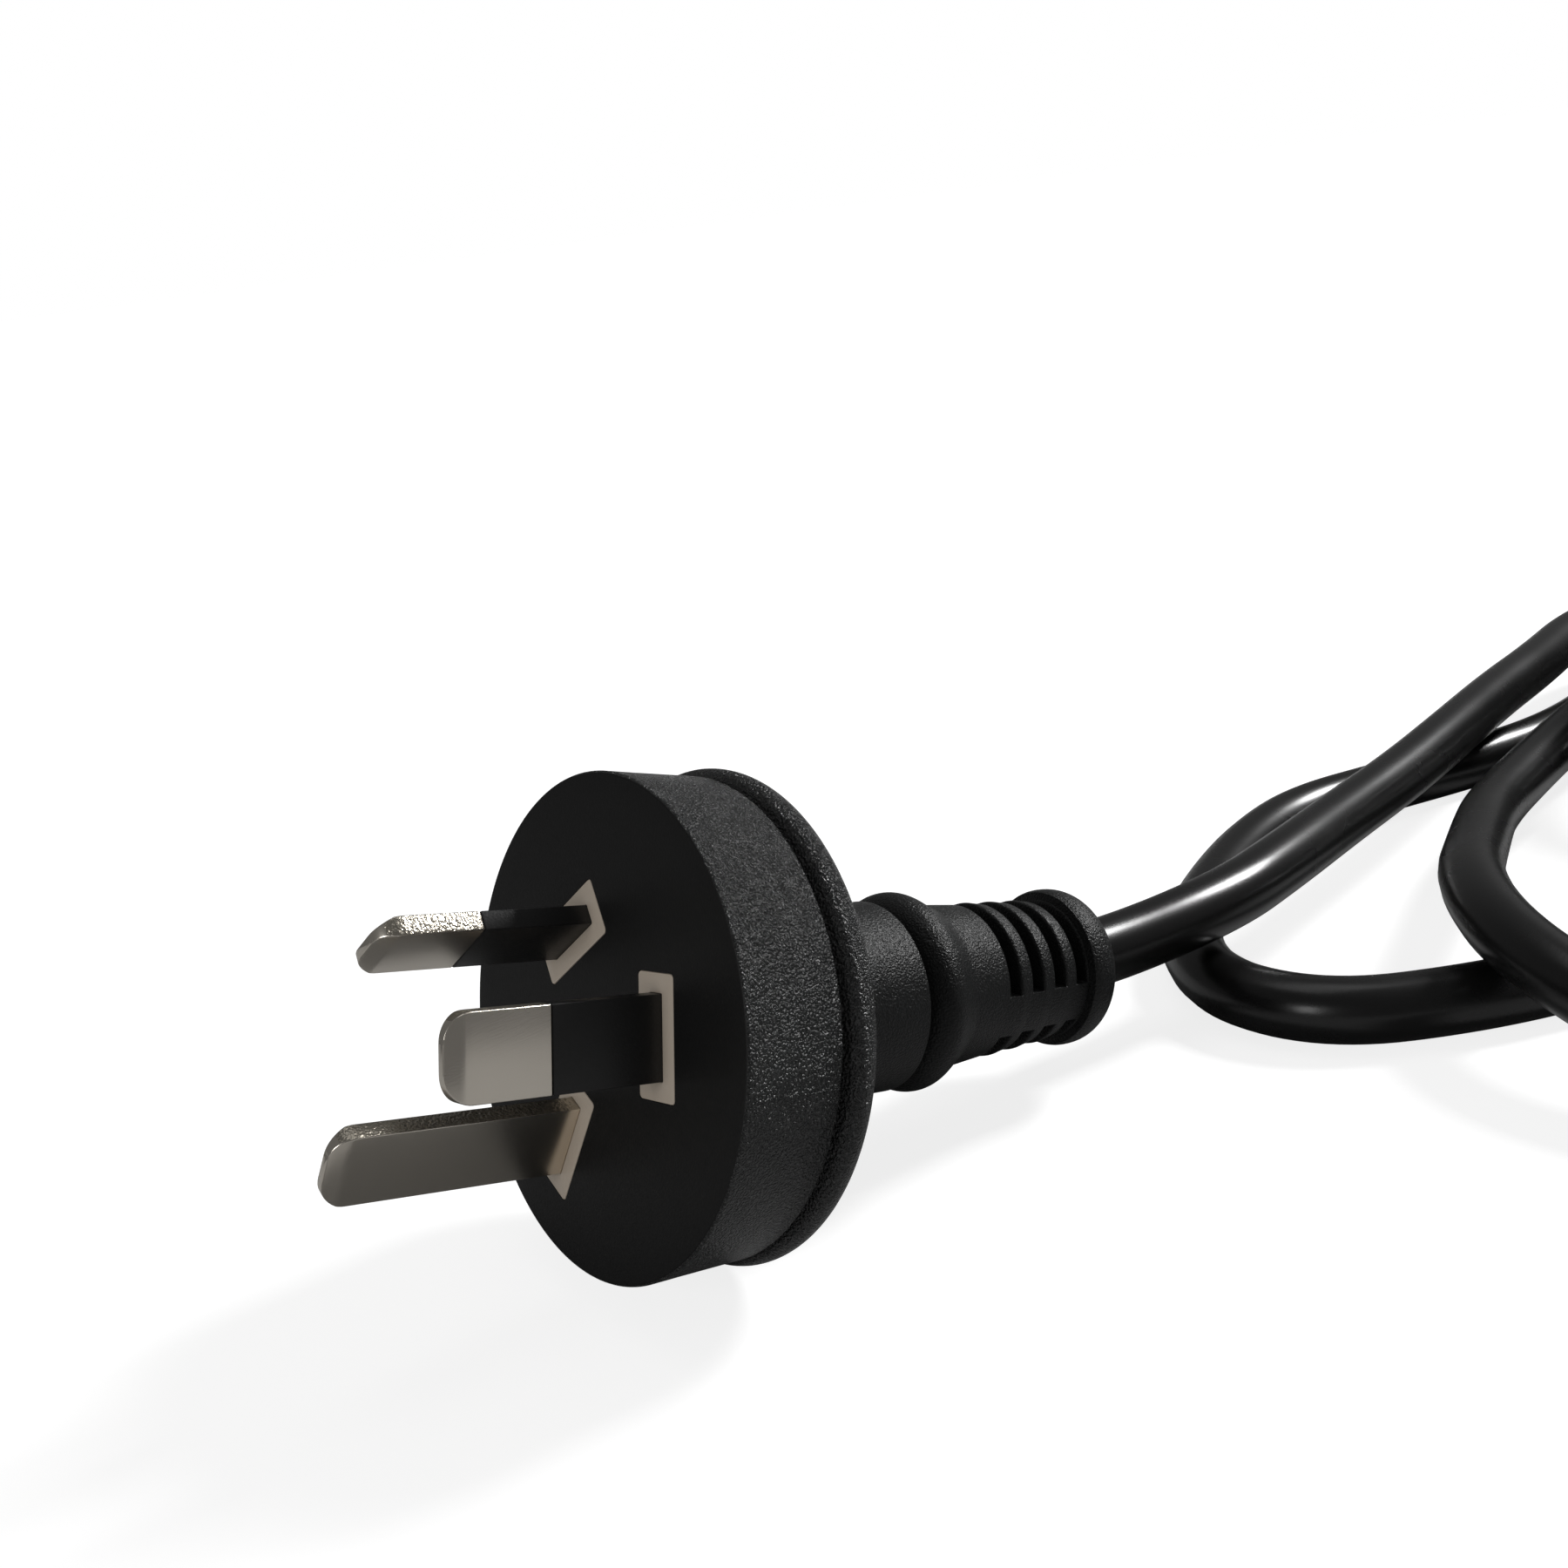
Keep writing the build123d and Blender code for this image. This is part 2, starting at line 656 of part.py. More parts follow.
UPPER_LOOP = [
    (173.2, -57.2, FLOOR),
    (155.3, -58.4, FLOOR),
    (136.4, -64.0, FLOOR),
    (116.6, -72.4, FLOOR),
    (96.8, -77.0, FLOOR),
    (76.8, -76.0, FLOOR),
    (60.7, -64.2, 3.6),
    (55.2, -45.9, 6.6),
    (58.7, -29.1, OVER),
    (69.8, -16.7, OVER),
    (84.0, -8.0, 7.6),
    (96.5, -0.8, 6.2),
    (109.8, 3.5, 6.0),
    (122.8, 7.0, 6.2),
    (135.9, 9.0, 7.4),
    (149.0, 11.8, 9.0),
    (161.1, 15.2, 9.35),
    (173.2, 16.2, UPPER_TURN),
]

CONNECTOR_LEAD = [
    (186.2, -47.6, 11.0),
    (173.2, -51.4, 14.6),
    (157.6, -52.8, 15.7),
    (141.6, -52.4, 15.7),
    (130.9, -48.0, 15.7),
    (122.7, -39.7, 15.7),
    (118.2, -29.0, 15.9),
    (118.2, -17.4, 16.9),
    (122.7, -6.7, 18.8),
    (130.9, 1.5, 20.7),
]


def vectors(points):
    """Hand-chosen points as vectors."""
    return [Vector(*p) for p in points]


def main():
    """Build every piece, place it in the resting frame and write its file."""
    plug = build_plug()
    upright = Rot(0, PLUG_TILT, 0)
    box = Compound(children=[upright * piece for piece in plug.values()]).bounding_box()
    shift = -(box.min.X + box.max.X) / 2
    frame = plug_frame(shift)
    nodes = {name: frame * piece for name, piece in plug.items()}

    connector_height = coil_section()[1] + CONNECTOR_GRIP_HEIGHT / 2
    connector_frame = Pos(CONNECTOR_REAR_X, CONNECTOR_Y, connector_height)
    for name, piece in build_connector().items():
        nodes[name] = connector_frame * piece

    inside = [relief_point(JACKET_START), relief_point(BEND_START), relief_point(PLUG_LENGTH)]
    start = [(frame * Pos(p)).position for p in inside]
    entry = [
        (connector_frame * Pos(-CORD_DIAMETER, 0, 0)).position,
        (connector_frame * Pos(CONNECTOR_JACKET_DEPTH, 0, 0)).position,
    ]
    lead = start + vectors(PLUG_LEAD)
    tail = vectors(CONNECTOR_LEAD) + entry
    nodes["cord_plug_lead"] = cord_tube(lead, "plug lead")
    nodes["cord_lower_loop"] = cord_tube(vectors(LOWER_LOOP), "lower loop")
    nodes["cord_upper_loop"] = cord_tube(vectors(UPPER_LOOP), "upper loop")
    nodes["cord_connector_lead"] = cord_tube(tail, "connector lead")
    nodes["plug_body"] = nodes["plug_body"] - cord_bore(lead[:6])
    nodes["connector_body"] = nodes["connector_body"] - cord_bore(tail[-4:])

    zone = tie_zone()
    outer = bundle_ring(0)
    inner = bundle_ring(TIE_THICKNESS)
    tie = (outer - inner) & zone
    nodes["coil_tie"] = tie
    nodes["cord_coil"] = outer - tie
    turns = COIL_COLUMNS * COIL_LAYERS - 1.5
    print("coil turns", turns, "length", round(turns * 2 * math.pi * COIL_MIDDLE_RADIUS, 1))
    print("plug shift", round(shift, 3), "exit", start[2], "face height", round(face_height(), 3))

    for name, piece in nodes.items():
        solids = piece.solids()
        shape = solids[0] if len(solids) == 1 else Compound(children=list(solids))
        export_step(shape, f"parts/{name}.step")


main()
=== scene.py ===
"""A moulded three-pin power cord: plug, loose loops, tied coil and appliance connector."""

import json
import logging
import math
from dataclasses import dataclass
from enum import Enum
from typing import Any

import bpy
from mathutils import Matrix, Vector

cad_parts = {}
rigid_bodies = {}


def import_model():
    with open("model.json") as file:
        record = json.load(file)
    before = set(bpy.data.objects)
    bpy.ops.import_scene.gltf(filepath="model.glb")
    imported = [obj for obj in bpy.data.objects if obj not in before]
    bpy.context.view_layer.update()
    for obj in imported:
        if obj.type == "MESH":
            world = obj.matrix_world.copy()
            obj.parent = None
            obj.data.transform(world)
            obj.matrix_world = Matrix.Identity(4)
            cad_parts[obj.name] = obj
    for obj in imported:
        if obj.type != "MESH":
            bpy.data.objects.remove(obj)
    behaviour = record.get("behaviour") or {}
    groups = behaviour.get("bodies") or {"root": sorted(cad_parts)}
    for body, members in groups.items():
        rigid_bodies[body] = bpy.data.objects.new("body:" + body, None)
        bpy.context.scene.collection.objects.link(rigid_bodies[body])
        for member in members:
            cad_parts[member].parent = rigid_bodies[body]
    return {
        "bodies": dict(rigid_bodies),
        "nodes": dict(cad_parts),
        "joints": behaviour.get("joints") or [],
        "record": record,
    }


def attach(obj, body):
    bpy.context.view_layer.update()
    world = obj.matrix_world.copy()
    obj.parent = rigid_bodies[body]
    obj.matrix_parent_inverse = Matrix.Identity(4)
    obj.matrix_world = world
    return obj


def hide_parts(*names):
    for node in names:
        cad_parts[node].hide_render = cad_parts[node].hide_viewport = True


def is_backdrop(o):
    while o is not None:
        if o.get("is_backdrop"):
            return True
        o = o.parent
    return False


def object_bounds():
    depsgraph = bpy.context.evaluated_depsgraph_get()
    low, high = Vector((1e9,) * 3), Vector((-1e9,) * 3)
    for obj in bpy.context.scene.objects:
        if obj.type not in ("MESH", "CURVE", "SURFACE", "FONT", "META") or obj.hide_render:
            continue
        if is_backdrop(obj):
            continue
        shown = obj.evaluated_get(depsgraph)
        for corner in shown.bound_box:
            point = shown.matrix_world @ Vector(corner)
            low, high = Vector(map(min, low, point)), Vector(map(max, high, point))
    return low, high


LOG = logging.getLogger("power_cord")
MM = 0.001
TAU = 2 * math.pi
CLOUD_SCALE = 90.0
CLOUD_DETAIL = 4.0
# Range of grain values over which the grain's tops get their painted highlight.
PAINTED_GLINT_RANGE = (0.5, 0.72)

Point = tuple[float, float, float]
Ring = list[Vector]


class Grain(Enum):
    """Surface texture that a mould or a die leaves on a piece."""

    POLISHED = "polished"
    SATIN = "satin"
    FINE = "fine"
    SPARK = "spark"
    EXTRUDED = "extruded"
    ROLLED = "rolled"
    SHEARED = "sheared"


@dataclass(frozen=True)
class GrainRecipe:
    """Size and strength of one grain.

    Attributes:
        size: Width of one grain, in mm.
        height: Height of the relief, in mm.
        roughness_swing: How far roughness wanders either way.
        stretch: How much longer the grain is along the piece than across it.
        detail: How many finer layers are in the grain.
        painted_glint: Painted highlight: extra lightness of the grain's tops, standing in for
            light glinting on the grain.
    """

    size: float
    height: float
    roughness_swing: float
    stretch: float = 1.0
    detail: float = 1.5
    painted_glint: float = 0.0


GRAINS: dict[Grain, GrainRecipe] = {
    Grain.POLISHED: GrainRecipe(1.6, 0.0015, 0.04),
    Grain.SATIN: GrainRecipe(0.2, 0.012, 0.05),
    # The fine and spark grains carry a painted highlight on their tops.
    Grain.FINE: GrainRecipe(0.18, 0.12, 0.07, painted_glint=0.006),
    Grain.SPARK: GrainRecipe(0.20, 0.38, 0.08, painted_glint=0.05),
    Grain.EXTRUDED: GrainRecipe(0.5, 0.006, 0.05, 6.0),
    Grain.ROLLED: GrainRecipe(0.12, 0.002, 0.06, 14.0),
    Grain.SHEARED: GrainRecipe(0.22, 0.10, 0.08),
}


@dataclass(frozen=True)
class Finish:
    """One material: its colour, gloss, metal and grain."""

    name: str
    slot: str
    color: tuple[float, float, float]
    roughness: float
    grain: Grain
    metallic: float = 0.0
    specular: float = 0.5

    def material(self) -> bpy.types.Material:
        """Make this finish's material once, and return it.

        Returns:
            The material, made on the first call and found again by name later.
        """
        found = bpy.data.materials.get(self.name)
        if found:
            return found
        mat = bpy.data.materials.new(self.name)
        mat.use_nodes = True
        nodes, links = mat.node_tree.nodes, mat.node_tree.links
        shader = nodes["Principled BSDF"]
        shader.inputs["Base Color"].default_value = (*self.color, 1.0)
        shader.inputs["Metallic"].default_value = self.metallic
        shader.inputs["Specular IOR Level"].default_value = self.specular
        recipe = GRAINS[self.grain]
        place = nodes.new("ShaderNodeTexCoord")
        scale = nodes.new("ShaderNodeMapping")
        scale.inputs["Scale"].default_value = (1 / recipe.stretch, 1.0, 1.0)
        grain = nodes.new("ShaderNodeTexNoise")
        grain.inputs["Scale"].default_value = 1 / (recipe.size * MM)
        grain.inputs["Detail"].default_value = recipe.detail
        cloud = nodes.new("ShaderNodeTexNoise")
        cloud.inputs["Scale"].default_value = CLOUD_SCALE
        cloud.inputs["Detail"].default_value = CLOUD_DETAIL
        spread = nodes.new("ShaderNodeMapRange")
        spread.inputs["To Min"].default_value = self.roughness - recipe.roughness_swing
        spread.inputs["To Max"].default_value = self.roughness + recipe.roughness_swing
        bump = nodes.new("ShaderNodeBump")
        bump.inputs["Distance"].default_value = recipe.height * MM
        bump.inputs["Strength"].default_value = 1.0
        links.new(place.outputs["Object"], scale.inputs["Vector"])
        links.new(scale.outputs["Vector"], grain.inputs["Vector"])
        links.new(place.outputs["Object"], cloud.inputs["Vector"])
        links.new(cloud.outputs["Fac"], spread.inputs["Value"])
        links.new(spread.outputs["Result"], shader.inputs["Roughness"])
        links.new(grain.outputs["Fac"], bump.inputs["Height"])
        links.new(bump.outputs["Normal"], shader.inputs["Normal"])
        # Painted highlight: the grain's tops get a lighter colour that stands in for light
        # glinting on them.
        if recipe.painted_glint:
            self.add_painted_glints(mat, grain, recipe.painted_glint)
        return mat

    def add_painted_glints(self, mat: bpy.types.Material, grain: bpy.types.Node, painted_glint: float) -> None:
        """Paint a highlight on the tops of the grain by lightening their colour.

        Args:
            mat: This finish's material.
            grain: Its grain texture.
            painted_glint: How much lighter the painted highlight makes the tops.
        """
        nodes, links = mat.node_tree.nodes, mat.node_tree.links
        tops = nodes.new("ShaderNodeMapRange")
        tops.inputs["From Min"].default_value, tops.inputs["From Max"].default_value = PAINTED_GLINT_RANGE
        mix = nodes.new("ShaderNodeMix")
        mix.data_type = "RGBA"
        mix.inputs["A"].default_value = (*self.color, 1.0)
        mix.inputs["B"].default_value = (*(c + painted_glint for c in self.color), 1.0)
        links.new(grain.outputs["Fac"], tops.inputs["Value"])
        links.new(tops.outputs["Result"], mix.inputs["Factor"])
        links.new(mix.outputs["Result"], nodes["Principled BSDF"].inputs["Base Color"])


FACE_BLACK = Finish(
    "plug_face_black", "overmould", (0.006, 0.006, 0.006), 0.5, Grain.SATIN, specular=0.25
)
GRAINED_BLACK = Finish(
    "grained_black_pvc", "overmould", (0.008, 0.0085, 0.0085), 0.26, Grain.SPARK, specular=0.5
)
SMOOTH_BLACK = Finish(
    "smooth_black_pvc", "overmould", (0.009, 0.0095, 0.0095), 0.40, Grain.FINE, specular=0.27
)
JACKET = Finish(
    "black_cord_jacket", "cord_jacket", (0.007, 0.007, 0.007), 0.27, Grain.EXTRUDED, specular=0.5
)
WARM_WHITE = Finish("warm_white_insert", "carrier", (0.64, 0.55, 0.45), 0.38, Grain.SATIN)
NICKEL = Finish(
    "bright_nickel", "pin_metal", (0.82, 0.76, 0.67), 0.25, Grain.ROLLED, metallic=1.0
)
NICKEL_EDGE = Finish(
    "sheared_nickel_edge", "pin_metal", (0.50, 0.46, 0.39), 0.30, Grain.SHEARED, metallic=1.0
)
PIN_BLACK = Finish(
    "pin_insulation_black", "pin_insulation", (0.012, 0.012, 0.012), 0.36, Grain.SATIN
)
BRASS = Finish(
    "plain_brass", "contact_metal", (0.78, 0.60, 0.28), 0.28, Grain.ROLLED, metallic=1.0
)
COPPER = Finish("bare_copper", "copper", (0.78, 0.42, 0.26), 0.3, Grain.ROLLED, metallic=1.0)
BROWN = Finish("brown_insulation", "core_brown", (0.18, 0.075, 0.035), 0.4, Grain.POLISHED)
BLUE = Finish("blue_insulation", "core_blue", (0.03, 0.14, 0.45), 0.4, Grain.POLISHED)
GREEN_YELLOW = Finish(
    "green_yellow_insulation", "core_green_yellow", (0.30, 0.44, 0.05), 0.4, Grain.POLISHED
)
TIE_BLACK = Finish("soft_tie_black", "tie", (0.02, 0.02, 0.021), 0.6, Grain.SATIN)
INSERT_BLACK = Finish("insert_black", "insert_black", (0.02, 0.02, 0.02), 0.45, Grain.SATIN)


def smoothstep(value: float) -> float:
    """Ease from 0 to 1, flat at both ends and clamped outside."""
    t = min(max(value, 0.0), 1.0)
    return t * t * (3 - 2 * t)


def new_mesh(name: str, points: Ring, faces: list[tuple[int, ...]]) -> bpy.types.Object:
    """Make a mesh object in metres from points in millimetres.

    Args:
        name: The object's name.
        points: Its corners, in mm.
        faces: Corner numbers of each face, seen from outside.

    Returns:
        The new object, linked to the scene.
    """
    mesh = bpy.data.meshes.new(name)
    mesh.from_pydata([tuple(p * MM) for p in points], [], faces)
    mesh.validate()
    obj = bpy.data.objects.new(name, mesh)
    bpy.context.scene.collection.objects.link(obj)
    return obj


def shade(obj: bpy.types.Object, angle: float = 32.0) -> None:
    """Shade an object smooth, with creases past this angle in degrees."""
    obj.data.shade_smooth()
    obj.data.set_sharp_from_angle(angle=math.radians(angle))


def loft(name: str, rings: list[Ring], closed_loop: bool = False) -> bpy.types.Object:
    """Skin rings of equal count into one closed mesh.

    Args:
        name: The object's name.
        rings: The rings in order, in mm, each with the same number of points.
        closed_loop: True if the last ring joins the first, False if both ends are capped.

    Returns:
        The skinned object.
    """
    count = len(rings[0])
    points = [p for ring in rings for p in ring]
    faces: list[tuple[int, ...]] = []
    spans = len(rings) if closed_loop else len(rings) - 1
    for i in range(spans):
        a, b = i * count, ((i + 1) % len(rings)) * count
        for j in range(count):
            k = (j + 1) % count
            faces.append((a + j, a + k, b + k, b + j))
    if not closed_loop:
        faces.append(tuple(reversed(range(count))))
        faces.append(tuple(range(len(points) - count, len(points))))
    return new_mesh(name, points, faces)


def cut(obj: bpy.types.Object, cutters: list[bpy.types.Object]) -> None:
    """Subtract other objects from this one and delete them.

    Args:
        obj: The object that is cut.
        cutters: The closed objects taken away from it.
    """
    for cutter in cutters:
        step = obj.modifiers.new("cut", "BOOLEAN")
        step.operation = "DIFFERENCE"
        step.solver = "EXACT"
        step.object = cutter
    graph = bpy.context.evaluated_depsgraph_get()
    mesh = bpy.data.meshes.new_from_object(obj.evaluated_get(graph))
    obj.modifiers.clear()
    old = obj.data
    obj.data = mesh
    bpy.data.meshes.remove(old)
    for cutter in cutters:
        bpy.data.objects.remove(cutter)


def rounded_box_ring(
    width: float, height: float, radius: float, steps: int = 5
) -> list[tuple[float, float]]:
    """Outline of a rectangle with rounded corners.

    Args:
        width: Size across, in mm.
        height: Size up, in mm.
        radius: Corner radius, in mm.
        steps: Number of points on each corner.

    Returns:
        The outline's points, counter-clockwise.
    """
    outline = []
    for quarter, (sx, sy) in enumerate(((1, 1), (-1, 1), (-1, -1), (1, -1))):
        for i in range(steps):
            a = (quarter + i / (steps - 1)) * TAU / 4
            x = sx * (width / 2 - radius) + radius * math.cos(a)
            y = sy * (height / 2 - radius) + radius * math.sin(a)
            outline.append((x, y))
    return outline


def box_rings(plan: list[tuple[float, float, float, float]]) -> list[Ring]:
    """Rounded rectangles along the x axis, in reverse order.

    Args:
        plan: Place, width, height and corner radius of each, in mm.

    Returns:
        One ring of points for each, the last of the plan first.
    """
    return [
        [Vector((x, y, z)) for y, z in rounded_box_ring(width, height, radius)]
        for x, width, height, radius in reversed(plan)
    ]


def finish_piece(obj: bpy.types.Object, finish: Finish, *nodes: str) -> bpy.types.Object:
    """Give a new piece its finish, its body and the CAD nodes that it stands for.

    Args:
        obj: The new piece.
        finish: Its finish.
        nodes: The CAD nodes that it replaces.

    Returns:
        The same piece.
    """
    if not obj.data.materials:
        obj.data.materials.append(finish.material())
    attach(obj, "root")
    if nodes:
        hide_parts(*nodes)
    LOG.info("built %s in %s", obj.name, finish.name)
    return obj


@dataclass
class PlugPose:
    """How the plug lies: tilted on its bead, and rolled about its own axis."""

    tilt: float = 15.2
    roll: float = 20.75
    relief_roll: float = 15.0
    shift: float = -14.091
    face_height: float = 21.479

    def axis_frame(self) -> Matrix:
        """Place of the plug's axis, before it is rolled, in mm."""
        place = Matrix.Translation((self.shift, 0, self.face_height))
        return place @ Matrix.Rotation(math.radians(self.tilt), 4, "Y")

    def rolled_frame(self) -> Matrix:
        """Place of the pins and their carrier, in mm."""
        return self.axis_frame() @ Matrix.Rotation(math.radians(self.roll), 4, "X")


def set_frame(obj: bpy.types.Object, frame: Matrix) -> None:
    """Move an object's mesh into a frame that is written in mm."""
    placed = frame.copy()
    placed.translation = placed.translation * MM
    obj.data.transform(placed)


@dataclass
class PlugMoulding:
    """Black overmould of the plug: disc, bead, neck, bulb, ribbed relief and end ball.

    Distances run from the face along the axis. They and the radii are in mm, angles in degrees.
    """

    pose: PlugPose
    face_radius: float = 19.3
    face_edge: float = 0.28
    face_rings: tuple[float, ...] = (0.5, 6.0, 12.0, 17.0)
    wall_rings: tuple[tuple[float, float], ...] = ((3.0, 19.12), (6.0, 18.94))
    wall_end: float = 8.6
    wall_end_radius: float = 18.8
    wall_rim: tuple[tuple[float, float], ...] = ((0.25, 0.0), (0.07, 0.08), (0.0, 0.3))
    groove_end: float = 9.3
    groove_radius: float = 18.0
    bead_centre: float = 10.4
    bead_front: float = 1.15
    bead_back: float = 1.6
    bead_radius: float = 1.75
    bead_outer: float = 19.38
    bead_from: float = 155.0
    bead_sweep: float = 165.0
    disc_end: float = 15.5
    disc_back: float = 9.0
    seam_end: float = 14.0
    neck_start: float = 19.4
    neck_radius: float = 7.9
    neck_middle: float = 22.5
    neck_end: float = 26.35
    neck_end_radius: float = 7.95
    neck_rim: tuple[tuple[float, float], ...] = ((0.4, 0.0), (0.12, 0.05), (0.0, 0.2))
    notch_radius: float = 7.0
    notch_end_radius: float = 6.9
    bulb_start: float = 27.3
    bulb_crest: float = 29.1
    bulb_end: float = 32.5
    bulb_radius: float = 8.42
    bulb_front_drop: float = 1.1
    sleeve_radius: float = 6.95
    sleeve_end_radius: float = 6.15
    slot_first: float = 36.8
    slot_pitch: float = 2.75
    slot_width: float = 1.2
    slot_core: float = 3.9
    slot_count: int = 4
    slot_rim: tuple[tuple[float, float], ...] = (
        (0.35, 0.0), (0.16, 0.02), (0.06, 0.09), (0.01, 0.2), (0.0, 0.35)
    )
    spine_half: float = 2.0
    spine_marks: tuple[float, ...] = (-1.5, -0.4, 0.0, 0.25, 0.5, 1.2)
    ball_start: float = 45.65
    ball_centre: float = 46.85
    ball_radius: float = 7.0
    ball_reach: float = 3.95
    ball_front_drop: float = 0.4
    length: float = 50.35
    mouth: float = 3.12
    mouth_depth: float = 9.0
    bend_start: float = 19.5
    bend_end: float = 22.2
    bend_angle: float = 2.83
    seam_angle: float = 14.0
    seam_height: float = 0.05
    around: int = 192
    column_gap: float = 0.6
    curve_steps: int = 24
    edge_steps: int = 6

    def centre(self, s: float) -> tuple[Vector, Vector]:
        """Point and direction of the bent axis at this distance from the face."""
        bend = math.radians(self.bend_angle)
        span = self.bend_end - self.bend_start
        radius = span / bend
        if s <= self.bend_start:
            return Vector((s, 0, 0)), Vector((1, 0, 0))
        a = min((s - self.bend_start) / radius, bend)
        point = Vector((self.bend_start + radius * math.sin(a), 0, radius * (1 - math.cos(a))))
        along = Vector((math.cos(a), 0, math.sin(a)))
        return point + along * max(s - self.bend_end, 0), along

    def disc_profile(self) -> list[tuple[float, float]]:
        """Radius along the axis over the face, the wall, the groove and the bead."""
        profile = [(0.0, r) for r in self.face_rings]
        edge = self.face_radius - self.face_edge
        for i in range(self.edge_steps + 1):
            a = i / self.edge_steps * TAU / 4
            s = self.face_edge * (1 - math.cos(a))
            profile.append((s, edge + self.face_edge * math.sin(a)))
        profile += self.wall_rings
        end, radius = self.wall_end, self.wall_end_radius
        profile += [(end - off, radius - drop) for off, drop in self.wall_rim]
        profile += [(end, self.groove_radius), (self.groove_end - 0.12, self.groove_radius)]
        out = self.bead_outer - self.bead_radius
        for i in range(self.curve_steps + 1):
            a = math.radians(self.bead_from - i * self.bead_sweep / self.curve_steps)
            half = self.bead_back if math.cos(a) > 0 else self.bead_front
            along = self.bead_centre + half * math.cos(a)
            profile.append((along, out + self.bead_radius * math.sin(a)))
        return profile

    def neck_profile(self, start: tuple[float, float]) -> list[tuple[float, float]]:
        """Radius along the axis over the concave back, the neck and the notch behind it.

        Args:
            start: Distance and radius at the end of the bead.

        Returns:
            Distance and radius of each ring.
        """
        start_s, start_r = start
        profile = []
        for i in range(1, self.curve_steps + 1):
            a = i / self.curve_steps * TAU / 4
            s = self.neck_start - (self.neck_start - start_s) * math.cos(a) ** 1.25
            r = start_r - (start_r - self.neck_radius) * math.sin(a) ** 0.9
            profile.append((s, r))
        profile.append((self.neck_middle, self.neck_radius))
        end, radius = self.neck_end, self.neck_end_radius
        profile += [(end - off, radius - drop) for off, drop in self.neck_rim]
        profile.append((end + 0.02, self.notch_radius))
        profile.append((self.bulb_start - 0.2, self.notch_end_radius))
        return profile

    def bulb_profile(self) -> list[tuple[float, float]]:
        """Radius along the bulb and the plain start of the sleeve."""
        profile = []
        middle = self.bulb_crest
        for i in range(self.curve_steps + 1):
            s = self.bulb_start + (self.bulb_end - self.bulb_start) * i / self.curve_steps
            if s < middle:
                t = (middle - s) / (middle - self.bulb_start)
                profile.append((s, self.bulb_radius - self.bulb_front_drop * t**2.4))
            else:
                t = (s - middle) / (self.bulb_end - middle)
                drop = self.bulb_radius - self.sleeve_radius
                profile.append((s, self.bulb_radius - drop * smoothstep(t) * 0.96))
        profile.append((self.bulb_end + 0.6, self.sleeve_radius))
        return profile

    def ball_radius_at(self, s: float) -> float:
        """Radius of the end ball at this distance from the face."""
        if s < self.ball_centre:
            t = (self.ball_centre - s) / (self.ball_centre - self.ball_start)
            return self.ball_radius - self.ball_front_drop * t**2.2
        t = (s - self.ball_centre) / self.ball_reach
        return self.ball_radius * (1 - t**2.6) ** 0.5

    def stations(self) -> list[tuple[float, float, float]]:
        """Distance, radius on the spines and radius elsewhere, of every ring of the moulding."""
        disc = self.disc_profile()
        rows = [(s, r, r) for s, r in disc + self.neck_profile(disc[-1]) + self.bulb_profile()]
        for i in range(self.slot_count):
            middle = self.slot_first + i * self.slot_pitch
            along = (middle - self.bulb_end) / (self.ball_start - self.bulb_end)
            r = self.sleeve_radius + (self.sleeve_end_radius - self.sleeve_radius) * along
            low, high = middle - self.slot_width / 2, middle + self.slot_width / 2
            side = [(off, r - drop) for off, drop in self.slot_rim]
            side += [(-0.03, self.slot_core + 0.3), (-0.12, self.slot_core)]
            rows += [(low - off, r, cut_r) for off, cut_r in side]
            rows += [(high + off, r, cut_r) for off, cut_r in reversed(side)]
        rows = [row for row in rows if row[0] < self.ball_start + 0.3]
        first = self.ball_start + self.slot_rim[0][0]
        for i in range(self.curve_steps + 1):
            s = first + (self.length - first) * math.sin(i / self.curve_steps * TAU / 4)
            rows.append((s, self.ball_radius_at(s), self.ball_radius_at(s)))
        mouth = [(0.02, self.mouth + 0.13), (-0.1, self.mouth)]
        mouth += [(-self.mouth_depth, self.mouth), (-self.mouth_depth, 0.4)]
        rows += [(self.length + off, r, r) for off, r in mouth]
        return rows

    def angles(self) -> list[float]:
        """Angles of the mesh's columns, gathered at the edges of the two spines."""
        edge = math.degrees(math.asin(self.spine_half / self.sleeve_radius))
        fine = [edge + off for off in self.spine_marks]
        marks = {sign * a + turn for a in fine for sign in (1, -1) for turn in (0, 180)}
        marks |= {self.seam_angle + off + turn for off in (-0.25, 0.0, 0.25) for turn in (0, 180)}
        step = 360 / self.around
        plain = [i * step for i in range(self.around)]
        special = [a % 360 for a in marks]
        kept = [a for a in plain if min(self.apart(a, b) for b in special) > self.column_gap]
        return sorted(kept + special)

    def apart(self, one: float, other: float) -> float:
        """Angle between two directions, in degrees."""
        return abs((one - other + 180) % 360 - 180)

    def seam(self, angle: float, distance: float) -> float:
        """Height of the fine parting line left by the mould on the disc, in mm."""
        off = min(self.apart(angle, self.seam_angle), self.apart(angle, self.seam_angle + 180))
        return self.seam_height if off < 0.05 and 0.3 < distance < self.seam_end else 0.0

    def spine_factor(self, angle: float) -> float:
        """0 on a spine and 1 away from it, with a short step between."""
        edge = math.degrees(math.asin(self.spine_half / self.sleeve_radius))
        off = min(self.apart(angle, 0), self.apart(angle, 180))
        return smoothstep((off - edge) / 0.5)

